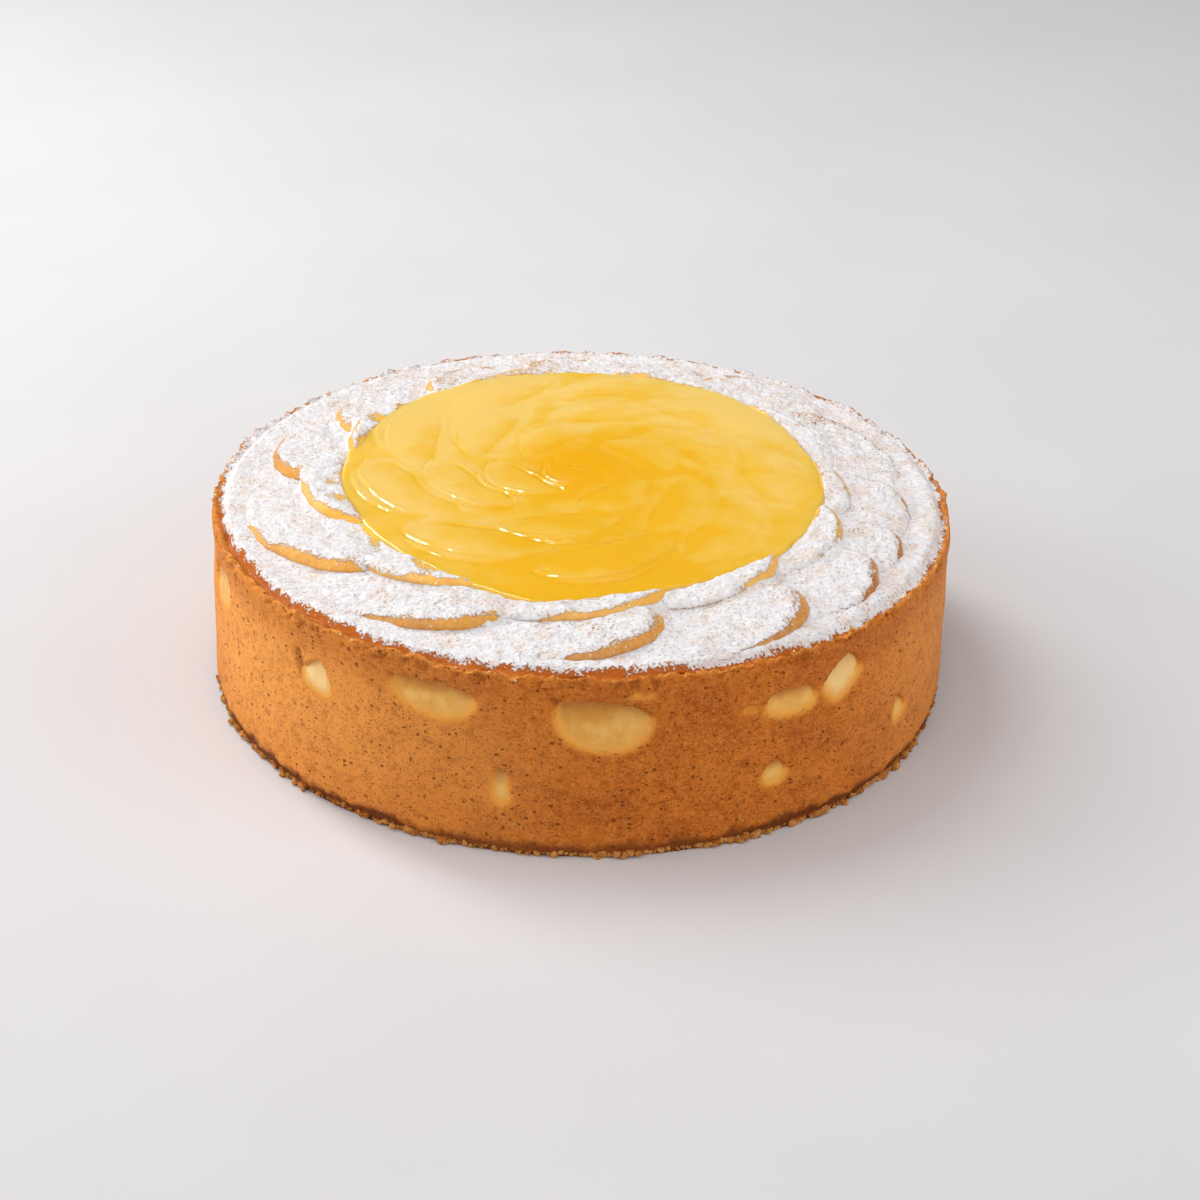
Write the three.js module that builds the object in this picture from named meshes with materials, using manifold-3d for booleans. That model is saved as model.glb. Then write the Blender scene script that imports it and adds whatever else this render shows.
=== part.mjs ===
// Pear tart: a deep, round, cake-like tart with pieces of pear showing in its browned wall,
// two rings of overlapping pear slices on its top and a glazed rosette of pear in the middle.
// Millimetres, +Z up. The origin is the centre of the flat base, and -Y is the front.
import * as THREE from "three";
import { mergeVertices } from "three/addons/utils/BufferGeometryUtils.js";
import Module from "manifold-3d";

// Driving dimensions of the baked body
const RIM_RADIUS = 120;
const BASE_RADIUS = 121.5;
const FOOT_CHAMFER = 1.2;
const WALL_ROWS = [4, 18, 34];
const NECK_RADIUS = 119.6;
const NECK_HEIGHT = 52;
const LIP_HEIGHT = 59.8;
const LIP_OVERHANG = 2.6;
const LIP_ROUND = 0.8;
const LIP_THICKNESS = 3;
const SHOULDER_INSET = 5.5;
const SHOULDER_WIDTH = 2;
const SHOULDER_HEIGHT = 61.2;
const SHELF_RADIUS = 108;
const SHELF_HEIGHT = 60.3;
const BED_HEIGHT = 58;
const BED_RADIUS = 74;
const BED_SLOPE = 10;
const BODY_SEGMENTS = 96;
const CLEARANCE_SEGMENTS = 30;

// Unevenness of the baked body: waves round it, how each climbs the wall, and their depths
const WALL_LUMP = 0.4;
const LIP_CRAG = 0.7;
const WAVES = [
  { count: 3, climb: 0.06, shift: 0, share: 0.32 },
  { count: 7, climb: -0.11, shift: 1.3, share: 0.32 },
  { count: 16, climb: 0.3, shift: 0.4, share: 0.22 },
  { count: 29, climb: -0.2, shift: 0, share: 0.22 },
];

// Driving dimensions of the glazed rosette
const POOL_RADIUS = 79;
const POOL_LEVEL = 65.9;
const POOL_EDGE = 1.5;
const POOL_SEGMENTS = 48;
const POOL_STRETCH = 1.06;
const ROSETTE_CENTRE = new THREE.Vector3(0, 8, 0);
const PETAL_THICKNESS = 4;
const PETAL_TOP = 66.6;
const PETAL_SWING = 13;
const PETAL_LIFT = 1.4;
const PETAL_DIP = 4.5;
const PETAL_RINGS = [
  { count: 9, radius: 60, length: 64, width: 27, first: 193 },
  { count: 6, radius: 41, length: 54, width: 23, first: 195 },
  { count: 4, radius: 23, length: 42, width: 20, first: 200 },
  { count: 3, radius: 8, length: 26, width: 15, first: 102 },
];

// Driving dimensions of the two rings of slices
const GAP = 0.35;
const SLICE_SIDES = 16;
const SLICE_SQUARENESS = 2.5;
const SLICE_BEND = 0.8;
const SLICE_PROFILE = [
  [0, 1],
  [0.92, 0.72],
  [1, -0.1],
  [0.93, -0.88],
  [0, -1],
];
const SLICE_CLEARANCE = [
  [0, 1.15],
  [1, 0.95],
  [1, -0.95],
  [0, -1],
];
const OUTER_RING = {
  name: "pear_slice_outer",
  width: 28,
  thickness: 5.6,
  height: 60.8,
  overlap: 13,
  swing: 7,
  lift: 3.6,
  dip: 0.5,
  // The bearing in degrees where each slice's raised end stops, and how far out it reaches
  slices: [
    [155, 106],
    [180, 107],
    [223, 110],
    [256, 109],
    [285, 112],
    [313, 115],
    [334, 112],
    [346, 109],
    [367, 107],
    [402, 108],
    [425, 112],
    [444, 107],
    [466, 108],
    [488, 106],
  ],
};
const INNER_RING = {
  name: "pear_slice_inner",
  width: 25,
  thickness: 5,
  height: 63.2,
  overlap: 10,
  swing: 7,
  lift: 2.4,
  dip: 8,
  slices: [
    [172, 88],
    [208, 91],
    [253, 90],
    [290, 93],
    [322, 89],
    [350, 90],
    [375, 87],
    [418, 90],
    [447, 92],
    [490, 91],
  ],
};

// Driving dimensions of the pieces of pear in the wall
const SIDE_SIDES = 12;
const SIDE_DEPTH = 8;
const SIDE_RECESS = 0.9;
const SIDE_PROFILE = [
  [0, 1],
  [0.82, 0.97],
  [1, 0.55],
  [0.8, -1],
  [0, -1],
];
const SIDE_CLEARANCE = [
  [0, 2],
  [1, 2],
  [1, 0.5],
  [0.82, -1],
  [0, -1],
];
const MOON_FLATNESS = 0.5;
const WEDGE_TAPER = 0.38;
// Bearing in degrees, height of the middle, width and height of the face, tilt in degrees, outline
const FRONT_SIDES = [
  { bearing: 229.7, height: 43, width: 17, tall: 10.5, tilt: -14, outline: "wedge" },
  { bearing: 249.3, height: 48.4, width: 26, tall: 10.5, tilt: -5, outline: "moon" },
  { bearing: 273.5, height: 44.5, width: 27.5, tall: 15.5, tilt: -9, outline: "moon" },
  { bearing: 301.8, height: 44.6, width: 16.5, tall: 7.5, tilt: -3, outline: "block" },
  { bearing: 311.2, height: 46.6, width: 14, tall: 11, tilt: 38, outline: "block" },
  { bearing: 259.5, height: 23.5, width: 4.5, tall: 11, tilt: 6, outline: "oval" },
  { bearing: 299.3, height: 21.6, width: 7, tall: 7, tilt: 0, outline: "oval" },
  { bearing: 325.7, height: 23.2, width: 9.5, tall: 8, tilt: 20, outline: "wedge" },
];
const BACK_SIDES = { count: 9, from: 345, to: 570, stagger: 0.5, drift: 6, tilt: 30, seed: 41 };
const UPPER_SIDES = { height: 46, width: [15, 26], tall: [8, 13], outlines: ["moon", "block", "wedge"] };
const LOWER_SIDES = { height: 24, width: [5, 9], tall: [6, 10], outlines: ["oval"] };

// Finishes
const CRUST = new THREE.MeshStandardMaterial({ color: "#b8752f", roughness: 0.8, metalness: 0 });
const SUGARED = new THREE.MeshStandardMaterial({ color: "#f2ece4", roughness: 0.9, metalness: 0 });
const GLAZED = new THREE.MeshStandardMaterial({ color: "#f2be4a", roughness: 0.15, metalness: 0 });
const BAKED_PEAR = new THREE.MeshStandardMaterial({ color: "#ecd289", roughness: 0.45, metalness: 0 });

const wasm = await Module();
wasm.setup();
const { degToRad, lerp, seededRandom, smoothstep } = THREE.MathUtils;

// Solid from a closed geometry, placed by a matrix
function solidOf(geometry, matrix = new THREE.Matrix4()) {
  const bare = geometry.clone().applyMatrix4(matrix);
  bare.deleteAttribute("normal");
  bare.deleteAttribute("uv");
  const merged = mergeVertices(bare, 1e-4);
  const vertProperties = new Float32Array(merged.attributes.position.array);
  const triVerts = new Uint32Array(merged.index.array);
  return new wasm.Manifold(new wasm.Mesh({ numProp: 3, vertProperties, triVerts }));
}

// The largest body of a solid, without the scraps that a cut leaves
function mainBody(solid) {
  const bodies = solid.decompose();
  return bodies.reduce((best, body) => (body.volume() > best.volume() ? body : best));
}

// Geometry from a solid, taken back into a mesh's own frame
function geometryOf(solid, matrix = new THREE.Matrix4()) {
  const mesh = solid.getMesh();
  const geometry = new THREE.BufferGeometry();
  geometry.setAttribute("position", new THREE.BufferAttribute(mesh.vertProperties, 3));
  geometry.setIndex(new THREE.BufferAttribute(mesh.triVerts, 1));
  geometry.applyMatrix4(matrix.clone().invert());
  geometry.computeVertexNormals();
  return geometry;
}

// Closed rounded piece: an outline in XY, scaled and raised ring by ring down to its underside
function pebbleGeometry(outline, profile, sides) {
  const rings = profile.slice(1, -1);
  const points = [0, 0, profile[0][1]];
  for (const [scale, level] of rings) {
    for (let side = 0; side < sides; side += 1) {
      const point = outline((side / sides) * Math.PI * 2);
      points.push(point.x * scale, point.y * scale, level);
    }
  }
  points.push(0, 0, profile.at(-1)[1]);
  const last = points.length / 3 - 1;
  const corner = (ring, side) => 1 + ring * sides + (side % sides);
  const faces = [];
  for (let side = 0; side < sides; side += 1) {
    faces.push(0, corner(0, side), corner(0, side + 1));
    for (let ring = 0; ring + 1 < rings.length; ring += 1) {
      faces.push(corner(ring, side), corner(ring + 1, side), corner(ring + 1, side + 1));
      faces.push(corner(ring, side), corner(ring + 1, side + 1), corner(ring, side + 1));
    }
    faces.push(last, corner(rings.length - 1, side + 1), corner(rings.length - 1, side));
  }
  const geometry = new THREE.BufferGeometry();
  geometry.setAttribute("position", new THREE.Float32BufferAttribute(points, 3));
  geometry.setIndex(faces);
  return geometry;
}

// Rounded rectangle between an ellipse and a box
function superellipse(angle, halfX, halfY, squareness) {
  const round = (value) => Math.sign(value) * Math.abs(value) ** (2 / squareness);
  return new THREE.Vector2(halfX * round(Math.cos(angle)), halfY * round(Math.sin(angle)));
}

// Moves every point of a geometry by a rule
function reshape(geometry, rule) {
  const positions = geometry.attributes.position;
  const point = new THREE.Vector3();
  for (let index = 0; index < positions.count; index += 1) {
    rule(point.fromBufferAttribute(positions, index));
    positions.setXYZ(index, point.x, point.y, point.z);
  }
  return geometry;
}

// Pear slice: long way along Y with its raised end at +Y, bent round the tart's middle
function sliceGeometry({ length, width, thickness, radius }, rings, grow) {
  const outline = (angle) =>
    superellipse(angle, width / 2 + grow, length / 2 + grow, SLICE_SQUARENESS);
  const profile = rings.map(([scale, level]) => [scale, level * (thickness / 2 + grow)]);
  const bend = (point) => {
    point.x -= point.y ** 2 / (2 * SLICE_BEND * radius);
  };
  return reshape(pebbleGeometry(outline, profile, SLICE_SIDES), bend);
}

// One piece: its mesh in a seat at its bearing, its solid, and the wider solid that clears it
function seatedPiece(mesh, bearing, clearance) {
  const seat = new THREE.Group();
  seat.rotation.z = bearing;
  seat.add(mesh);
  seat.updateMatrixWorld(true);
  const solid = solidOf(mesh.geometry, mesh.matrixWorld);
  return { mesh, seat, solid, cutter: solidOf(clearance, mesh.matrixWorld) };
}

// Ring of slices, each running from under its neighbour to its own raised end
function sliceRing(ring) {
  const { width, thickness, slices } = ring;
  return slices.map(([stop, reach], index) => {
    const before = index === 0 ? slices.at(-1)[0] - 360 : slices[index - 1][0];
    const radius = reach - width / 2;
    const span = degToRad(stop - before);
    const length = span * radius + ring.overlap;
    const bearing = degToRad(stop) - length / 2 / radius;
    const size = { length, width, thickness, radius };
    const mesh = new THREE.Mesh(sliceGeometry(size, SLICE_PROFILE, 0), SUGARED);
    mesh.name = `${ring.name}_${String(index + 1).padStart(2, "0")}`;
    mesh.position.set(radius, 0, ring.height);
    mesh.rotation.set(degToRad(ring.lift), degToRad(-ring.dip), degToRad(ring.swing), "ZYX");
    return seatedPiece(mesh, bearing, sliceGeometry(size, SLICE_CLEARANCE, GAP));
  });
}

// Outlines of the pieces of pear that the wall cuts across
const SIDE_OUTLINES = {
  oval: (angle, halfX, halfY) => superellipse(angle, halfX, halfY, 2),
  block: (angle, halfX, halfY) => superellipse(angle, halfX, halfY, 3.2),
  moon: (angle, halfX, halfY) => {
    const point = superellipse(angle, halfX, halfY, 2.2);
    point.y *= point.y > 0 ? 1 - MOON_FLATNESS : 1 + MOON_FLATNESS;
    point.y += halfY * MOON_FLATNESS;
    return point;
  },
  wedge: (angle, halfX, halfY) => {
    const point = superellipse(angle, halfX, halfY, 2.2);
    point.x *= 1 - WEDGE_TAPER - (WEDGE_TAPER * point.y) / halfY;
    return point;
  },
};

// Piece of pear in the wall: its outline in XY, its face towards +Z, curved like the wall
function sidePearGeometry(piece, rings, grow) {
  const outline = (angle) =>
    SIDE_OUTLINES[piece.outline](angle, piece.width / 2 + grow, piece.tall / 2 + grow);
  const profile = rings.map(([scale, level]) => [scale, level * (SIDE_DEPTH / 2 + grow)]);
  const tilt = new THREE.Matrix4().makeRotationZ(degToRad(piece.tilt));
  const geometry = pebbleGeometry(outline, profile, SIDE_SIDES).applyMatrix4(tilt);
  return reshape(geometry, (point) => {
    point.z -= point.x ** 2 / (2 * RIM_RADIUS);
  });
}

// Pieces of pear round the back, by turns high and low, with small seeded differences
function backSides() {
  seededRandom(BACK_SIDES.seed);
  const within = ([low, high]) => lerp(low, high, seededRandom());
  const about = (spread) => (seededRandom() - 0.5) * spread;
  return Array.from({ length: BACK_SIDES.count }, (_, index) => {
    const row = index % 2 === 0 ? UPPER_SIDES : LOWER_SIDES;
    const along = (index + 0.5 + about(BACK_SIDES.stagger)) / BACK_SIDES.count;
    return {
      bearing: lerp(BACK_SIDES.from, BACK_SIDES.to, along),
      height: row.height + about(BACK_SIDES.drift),
      width: within(row.width),
      tall: within(row.tall),
      tilt: about(BACK_SIDES.tilt),
      outline: row.outlines[Math.floor(index / 2) % row.outlines.length],
    };
  });
}

// Radius of the plain wall at a height
function wallRadius(height) {
  return lerp(BASE_RADIUS, NECK_RADIUS, height / NECK_HEIGHT);
}

// Pieces of pear set into the wall, their faces a little behind it
function sidePears() {
  return [...FRONT_SIDES, ...backSides()].map((piece, index) => {
    const mesh = new THREE.Mesh(sidePearGeometry(piece, SIDE_PROFILE, 0), BAKED_PEAR);
    mesh.name = `pear_side_${String(index + 1).padStart(2, "0")}`;
    const depth = SIDE_DEPTH / 2 + SIDE_RECESS;
    mesh.position.set(wallRadius(piece.height) - depth, 0, piece.height);
    mesh.rotation.set(Math.PI / 2, 0, Math.PI / 2, "ZYX");
    const clearance = sidePearGeometry(piece, SIDE_CLEARANCE, GAP);
    return seatedPiece(mesh, degToRad(piece.bearing), clearance);
  });
}

// Slow unevenness round the tart, between about -1 and 1
function waver(bearing, height) {
  const wave = ({ count, climb, shift, share }) =>
    share * Math.sin(count * bearing + climb * height + shift);
  return WAVES.reduce((sum, entry) => sum + wave(entry), 0);
}

// The body's top from its shoulder in to the middle, raised by the clearance that lies on it
function bedProfile(clearance) {
  return [
    [RIM_RADIUS - SHOULDER_INSET, SHOULDER_HEIGHT + clearance],
    [RIM_RADIUS - SHOULDER_INSET - SHOULDER_WIDTH, SHOULDER_HEIGHT + clearance],
    [SHELF_RADIUS, SHELF_HEIGHT + clearance],
    [BED_RADIUS + BED_SLOPE, SHELF_HEIGHT + clearance],
    [BED_RADIUS, BED_HEIGHT + clearance],
    [0, BED_HEIGHT + clearance],
  ];
}

// Round solid about +Z from a profile of radii and heights
function turned(profile, segments) {
  const points = profile.map(([radius, height]) => new THREE.Vector2(radius, height));
  return new THREE.LatheGeometry(points, segments).rotateX(Math.PI / 2);
}

// Baked body: uneven wall, ragged lip, shoulder, shelf under the slices and shallow bed
function bodyGeometry() {
  const profile = [
    [0, 0],
    [BASE_RADIUS - FOOT_CHAMFER, 0],
    ...[...WALL_ROWS, NECK_HEIGHT].map((height) => [wallRadius(height), height]),
    [RIM_RADIUS, LIP_HEIGHT - LIP_OVERHANG],
    [RIM_RADIUS - LIP_ROUND / 2, LIP_HEIGHT - LIP_ROUND],
    [RIM_RADIUS - LIP_THICKNESS / 2, LIP_HEIGHT],
    [RIM_RADIUS - LIP_THICKNESS, LIP_HEIGHT - LIP_ROUND],
    ...bedProfile(0),
  ];
  return reshape(turned(profile, BODY_SEGMENTS), (point) => {
    const radius = Math.hypot(point.x, point.y);
    if (radius <= RIM_RADIUS - SHOULDER_INSET + GAP) {
      return;
    }
    const step = Math.round((Math.atan2(point.y, point.x) * BODY_SEGMENTS) / (2 * Math.PI));
    const turn = (((step + BODY_SEGMENTS) % BODY_SEGMENTS) * 2 * Math.PI) / BODY_SEGMENTS;
    const lip = smoothstep(point.z, LIP_HEIGHT - LIP_OVERHANG - LIP_ROUND, LIP_HEIGHT - LIP_ROUND);
    const swell = 1 + (WALL_LUMP * waver(turn, point.z)) / radius;
    point.x *= swell;
    point.y *= swell;
    point.z += lip * LIP_CRAG * waver(3 * turn + 1, 5 * radius);
  });
}

// Petals of the rosette, each a slice sunk in the glaze with its outer edge and one end raised
function rosettePetals() {
  return PETAL_RINGS.flatMap((ring) =>
    Array.from({ length: ring.count }, (_, index) => {
      const seat = new THREE.Group();
      seat.position.copy(ROSETTE_CENTRE);
      seat.rotation.z = degToRad(ring.first + (360 * index) / ring.count);
      const shape = sliceGeometry({ ...ring, thickness: PETAL_THICKNESS }, SLICE_PROFILE, 0);
      const petal = new THREE.Mesh(shape, GLAZED);
      petal.position.set(ring.radius, 0, PETAL_TOP - PETAL_THICKNESS / 2);
      petal.rotation.set(degToRad(PETAL_LIFT), degToRad(-PETAL_DIP), degToRad(PETAL_SWING), "ZYX");
      seat.add(petal);
      seat.updateMatrixWorld(true);
      return solidOf(shape, petal.matrixWorld);
    }),
  );
}

// Glaze: a pool, longer from front to back, that swells over every petal of the rosette
function glazeSolid() {
  const profile = [
    [0, BED_HEIGHT],
    [POOL_RADIUS - POOL_EDGE / 2, BED_HEIGHT],
    [POOL_RADIUS, SHELF_HEIGHT + POOL_EDGE],
    [POOL_RADIUS - POOL_EDGE, POOL_LEVEL],
    [0, POOL_LEVEL],
  ];
  const pool = solidOf(turned(profile, POOL_SEGMENTS));
  const whole = rosettePetals().reduce((solid, petal) => solid.add(petal), pool);
  return whole.scale([1, POOL_STRETCH, 1]);
}

const outer = sliceRing(OUTER_RING);
const inner = sliceRing(INNER_RING);
const sides = sidePears();

// Each slice gives way to the neighbour that lies on its tail, and the outer ring to the inner one
for (const ring of [outer, inner]) {
  ring.forEach((piece, index) => {
    piece.solid = piece.solid.subtract(ring.at(index - 1).cutter);
  });
}
for (const piece of outer) {
  for (const above of inner) {
    piece.solid = piece.solid.subtract(above.cutter);
  }
}

// The slices and glaze lie on the body, the glaze runs round the slices, and the wall opens over its pieces
const slices = [...outer, ...inner];
const bedSides = [
  [0, 0],
  [RIM_RADIUS, 0],
  [RIM_RADIUS, SHOULDER_HEIGHT],
];
const bedClearance = solidOf(turned([...bedSides, ...bedProfile(GAP)], CLEARANCE_SEGMENTS));
let body = solidOf(bodyGeometry());
let glaze = glazeSolid().subtract(bedClearance);
for (const piece of slices) {
  piece.solid = piece.solid.subtract(bedClearance);
  glaze = glaze.subtract(piece.cutter);
}
for (const piece of sides) {
  body = body.subtract(piece.cutter);
}

const tart = new THREE.Group();
const bodyMesh = new THREE.Mesh(geometryOf(mainBody(body)), CRUST);
bodyMesh.name = "tart_body";
const glazeMesh = new THREE.Mesh(geometryOf(mainBody(glaze)), GLAZED);
glazeMesh.name = "glazed_rosette";
tart.add(bodyMesh, glazeMesh);
for (const piece of [...slices, ...sides]) {
  piece.mesh.geometry = geometryOf(mainBody(piece.solid), piece.mesh.matrixWorld);
  tart.add(piece.seat);
}

export default tart;
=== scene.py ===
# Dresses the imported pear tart: browned crust, pear in its wall, sugared slices with drifts between them,
# glazed rosette, sugar grains, crumbs at its foot, and a plain stage. Lengths in the making are millimetres.
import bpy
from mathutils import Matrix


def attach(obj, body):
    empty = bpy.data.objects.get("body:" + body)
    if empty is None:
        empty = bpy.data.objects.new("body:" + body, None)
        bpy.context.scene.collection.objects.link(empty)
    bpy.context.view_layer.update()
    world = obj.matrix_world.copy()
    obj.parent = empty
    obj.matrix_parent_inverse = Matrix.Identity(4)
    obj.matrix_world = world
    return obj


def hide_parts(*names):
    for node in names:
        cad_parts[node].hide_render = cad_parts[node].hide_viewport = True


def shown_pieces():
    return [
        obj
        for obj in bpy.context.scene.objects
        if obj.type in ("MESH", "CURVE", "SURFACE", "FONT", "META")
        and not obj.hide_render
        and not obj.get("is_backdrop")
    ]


bl_info = {
    "name": "Pear tart",
    "version": (1, 0, 0),
    "blender": (4, 5, 0),
    "location": "View3D > Sidebar > Tart",
    "description": "Crust, pear slices, glaze, sugar and crumbs for the packed pear tart",
    "category": "Object",
}

import itertools
import math

import bmesh
import bpy
import numpy as np
from mathutils import Matrix, Vector
from mathutils.bvhtree import BVHTree
from mathutils.geometry import convex_hull_2d

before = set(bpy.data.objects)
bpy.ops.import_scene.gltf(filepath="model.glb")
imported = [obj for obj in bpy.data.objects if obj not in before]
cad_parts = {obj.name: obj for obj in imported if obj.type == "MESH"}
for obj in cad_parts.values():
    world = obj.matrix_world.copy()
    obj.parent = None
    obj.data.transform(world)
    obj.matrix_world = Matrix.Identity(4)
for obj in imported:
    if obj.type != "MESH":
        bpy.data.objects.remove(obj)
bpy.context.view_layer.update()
SIDE_NODES = sorted(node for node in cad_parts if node.startswith("pear_side"))
MM = 0.001
FULL_TURN = 2 * math.pi

# Sizes that the solids are made from
RIM_RADIUS = 120
BASE_RADIUS = 121.5
NECK_RADIUS = 119.6
NECK_HEIGHT = 52
LIP_HEIGHT = 59.8
SHOULDER_OUTSIDE = 114.5
SHOULDER_INSIDE = 112.5
SHOULDER_HEIGHT = 61.2
SHELF_RADIUS = 108
SHELF_HEIGHT = 60.3
BED_BRIM = 84
BED_RADIUS = 74
BED_HEIGHT = 58
SLICE_SQUARENESS = 2.5
SLICE_BEND = 0.8
POOL_RADIUS = 79
POOL_LEVEL = 65.9
POOL_STRETCH = 1.06
ROSETTE_CENTRE = (0, 8)
PETALS = {"thickness": 4, "top": 66.6, "swing": 13, "lift": 1.4, "dip": 4.5}
PETAL_RINGS = (
    {"count": 9, "radius": 60, "length": 64, "width": 27, "first": 193},
    {"count": 6, "radius": 41, "length": 54, "width": 23, "first": 195},
    {"count": 4, "radius": 23, "length": 42, "width": 20, "first": 200},
    {"count": 3, "radius": 8, "length": 26, "width": 15, "first": 102},
)

# Unevenness of the solid's wall and lip: waves in a turn, climb with height, shift and share
WALL_LUMP = 0.4
LIP_CRAG = 0.7
WAVES = ((3, 0.06, 0, 0.32), (7, -0.11, 1.3, 0.32), (16, 0.3, 0.4, 0.22), (29, -0.2, 0, 0.22))

# Rings of slices, each slice by the bearing of its raised end and the radius that it reaches. Of the looks,
# toast is the range of browning, baked makes slices darker on the right, ripe tints raised ends, wets lets
# glaze in.
OUTER_RING = {
    "node": "pear_slice_outer", "piece": "slice_outer", "width": 28, "thickness": 5.6,
    "height": 60.8, "overlap": 13, "swing": 7, "lift": 3.6, "dip": 0.5,
    "toast": (0.55, 1.0), "baked": 1, "ripe": 0.35, "wets": 0,
    "slices": (
        (155, 106), (180, 107), (223, 110), (256, 109), (285, 112), (313, 115), (334, 112),
        (346, 109), (367, 107), (402, 108), (425, 112), (444, 107), (466, 108), (488, 106),
    ),
}
INNER_RING = {
    "node": "pear_slice_inner", "piece": "slice_inner", "width": 25, "thickness": 5,
    "height": 63.2, "overlap": 10, "swing": 7, "lift": 2.4, "dip": 8,
    "toast": (0.0, 0.35), "baked": 0, "ripe": 0.8, "wets": 1,
    "slices": (
        (172, 88), (208, 91), (253, 90), (290, 93), (322, 89),
        (350, 90), (375, 87), (418, 90), (447, 92), (490, 91),
    ),
}

# Finer form of a slice: how far it strays, how far its raised end stands up, how far it sinks into the shelf,
# and its rounded edge and underside as share of the outline and level between top, 1, and bottom, -1
SLICE_STRAY = 0.8
SLICE_RISE = 1.5
SLICE_SINK = 0.4
SLICE_SIDES = 190
OUTLINE_SAMPLES = 4001
SLICE_SEED = 8
SLICE_EDGE = ((0.76, 0.768), (0.84, 0.68), (0.905, 0.52), (0.955, 0.3), (0.985, 0.1), (1, -0.1))
SLICE_UNDERSIDE = ((1, -0.1), (0.985, -0.5), (0.93, -0.88), (0.5, -0.96))
# Gap under a slice that is close enough for sugar to gather in it, and how high it gathers
POWDER_REACH = 2.6
POWDER_HEAP = 0.45
# Slices at the glaze: where and how far they dip under it, up to what height it wets them, how far it
# splashed and where; and where slices lost sugar at the back and where they are darker on the right
DIP_BAND = (2, -2.5)
DIP_DEPTH = 0.6
WET_BAND = (0.6, 0.15)
SPLASH_BAND = (8, 2)
SPLASH_LEFT = (20, -40)
BARE_BACK = (10, 80)
BAKED_RIGHT = (10, 90)

# Edge of the glaze: how far it reaches out at the back, bearing, width and reach of its bulge at the front
# and of its dent on the left, how far its film drops outside it and over what width, and where it ends
POOL_BACK = 7.5
POOL_BULGES = ((262, 17, 6), (208, 18, -2))
POOL_DROP = 2.8
POOL_FILM = 2.5
POOL_RIM = 2

# Finer form of the rosette: each petal as two slices, by outward shift, drop and added width, the reach of
# its thin edge, the width of its pale crescent, the bearing where edges stand highest, and the middle
PETAL_LAYERS = ((0, 0, 0), (2.6, 0.5, 2))
EDGE_REACH = 2.6
CRESCENT = 13
GLINT_BEARING = math.radians(222)
EYE = (ROSETTE_CENTRE[0], ROSETTE_CENTRE[1] * POOL_STRETCH)

# Glaze: width of its soft and of its crisper swells and the share of those, where and how far it is calmer
# on the right, and how wide its deeper middle is
SWELL_SOFT = 6
SWELL_CRISP = 2.2
SWELL_SHARE = 0.2
CALM_RIGHT = (0, 45)
CALM_SHARE = 0.45
EYE_BAND = (30, 6)
# Cell of the grid that the glaze's height is read from and the grid's reach past the pool, and its mesh
GLAZE_CELL = 0.3
GLAZE_MARGIN = 13
GLAZE_SIDES = 330
GLAZE_RINGS = 296

# Sugar drifts: what they lie on, as radius and height outside the glaze and gap to its edge and height
# inside it, the cells over which a gap fills up, how far they stay below the slices, the height of their
# lumps, where they start from the glaze's edge, and where they end
DRIFT_SHELF = (
    (SHELF_RADIUS, SHELF_HEIGHT), (SHOULDER_INSIDE, SHOULDER_HEIGHT), (SHOULDER_OUTSIDE, SHOULDER_HEIGHT),
    (117, 59),
)
DRIFT_POOL = ((-8, 65.4), (-2, 65.2), (1, SHELF_HEIGHT))
DRIFT_CELL = 0.8
DRIFT_CLOSES = 4
DRIFT_DROP = 0.3
DRIFT_LUMPS = 0.3
DRIFT_INSIDE = -1.5
DRIFT_OUTSIDE = 114
DRIFT_SIDES = 640
DRIFT_ROWS = 48

# Windows over the pear in the wall, by their crisp upper and soft lower edges: where the wall starts to open,
# over what width and how far, and over what width and how much it is pale. WINDOW_REACH is past all of it.
WINDOW_START = (-0.7, -2.2)
WINDOW_WIDTH = (0.9, 4.0)
WINDOW_SHARE = (1, 0.45)
PALE_WIDTH = (1.3, 4.6)
PALE_SHARE = (0.35, 1)
WINDOW_REACH = 6

# Pear in the wall: share of the outline and depth behind the wall, from the middle of the face to the back,
# how far a piece runs past its window and leans back, the width of its browned edge, crisp and soft, and the
# pieces that are paler than the rest
SIDE_RECESS = 0.35
SIDE_FACE = [(share, SIDE_RECESS + 0.25 * share ** 2) for share in np.linspace(0.08, 1, 13)]
SIDE_BODY = [(1.01, 2.2), (0.97, 4), (0.86, 7), (0.4, 7.6)]
SIDE_MARGIN = 1.1
SIDE_LEAN = 1.2
RIND_WIDTH = (1.2, 3.2)
BLANCHED = {"pear_side_01": 0.7, "pear_side_05": 0.55}

# Loose lumps: share of the middling size of the smallest, power that makes large ones rare, how far they
# turn, and the chance below which none lie
SMALLEST_LUMP = 0.7
LARGE_RARENESS = 4
LUMP_TURN = 6.28
LEAST_CHANCE = 0.08

# Camera as fitted to the photograph, in metres and radians, and lights by place, width, height and mirroring
CAMERA_PLACE = (0, -0.7, 0.4034)
CAMERA_YAW = 0.0097
CAMERA_PITCH = 0.5004
CAMERA_ROLL = 0.028
SENSOR_WIDTH = 36
LIGHT_TARGET = Vector((0, 0, 0.05))
LIGHTS = {
    "strip": ((-0.68, 0.61, 1.13), 0.3, 1.3, True),
    "over": ((-0.3, -0.1, 1.4), 1.2, 1.2, False),
    "side": ((-1.35, 0.1, 0.45), 0.8, 0.8, False),
    "fill": ((1.2, -0.45, 0.65), 0.9, 0.9, False),
}
FLOOR_RADIUS = 6
ROOM_COLOUR = (1.0, 0.99, 0.985, 1)

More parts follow.
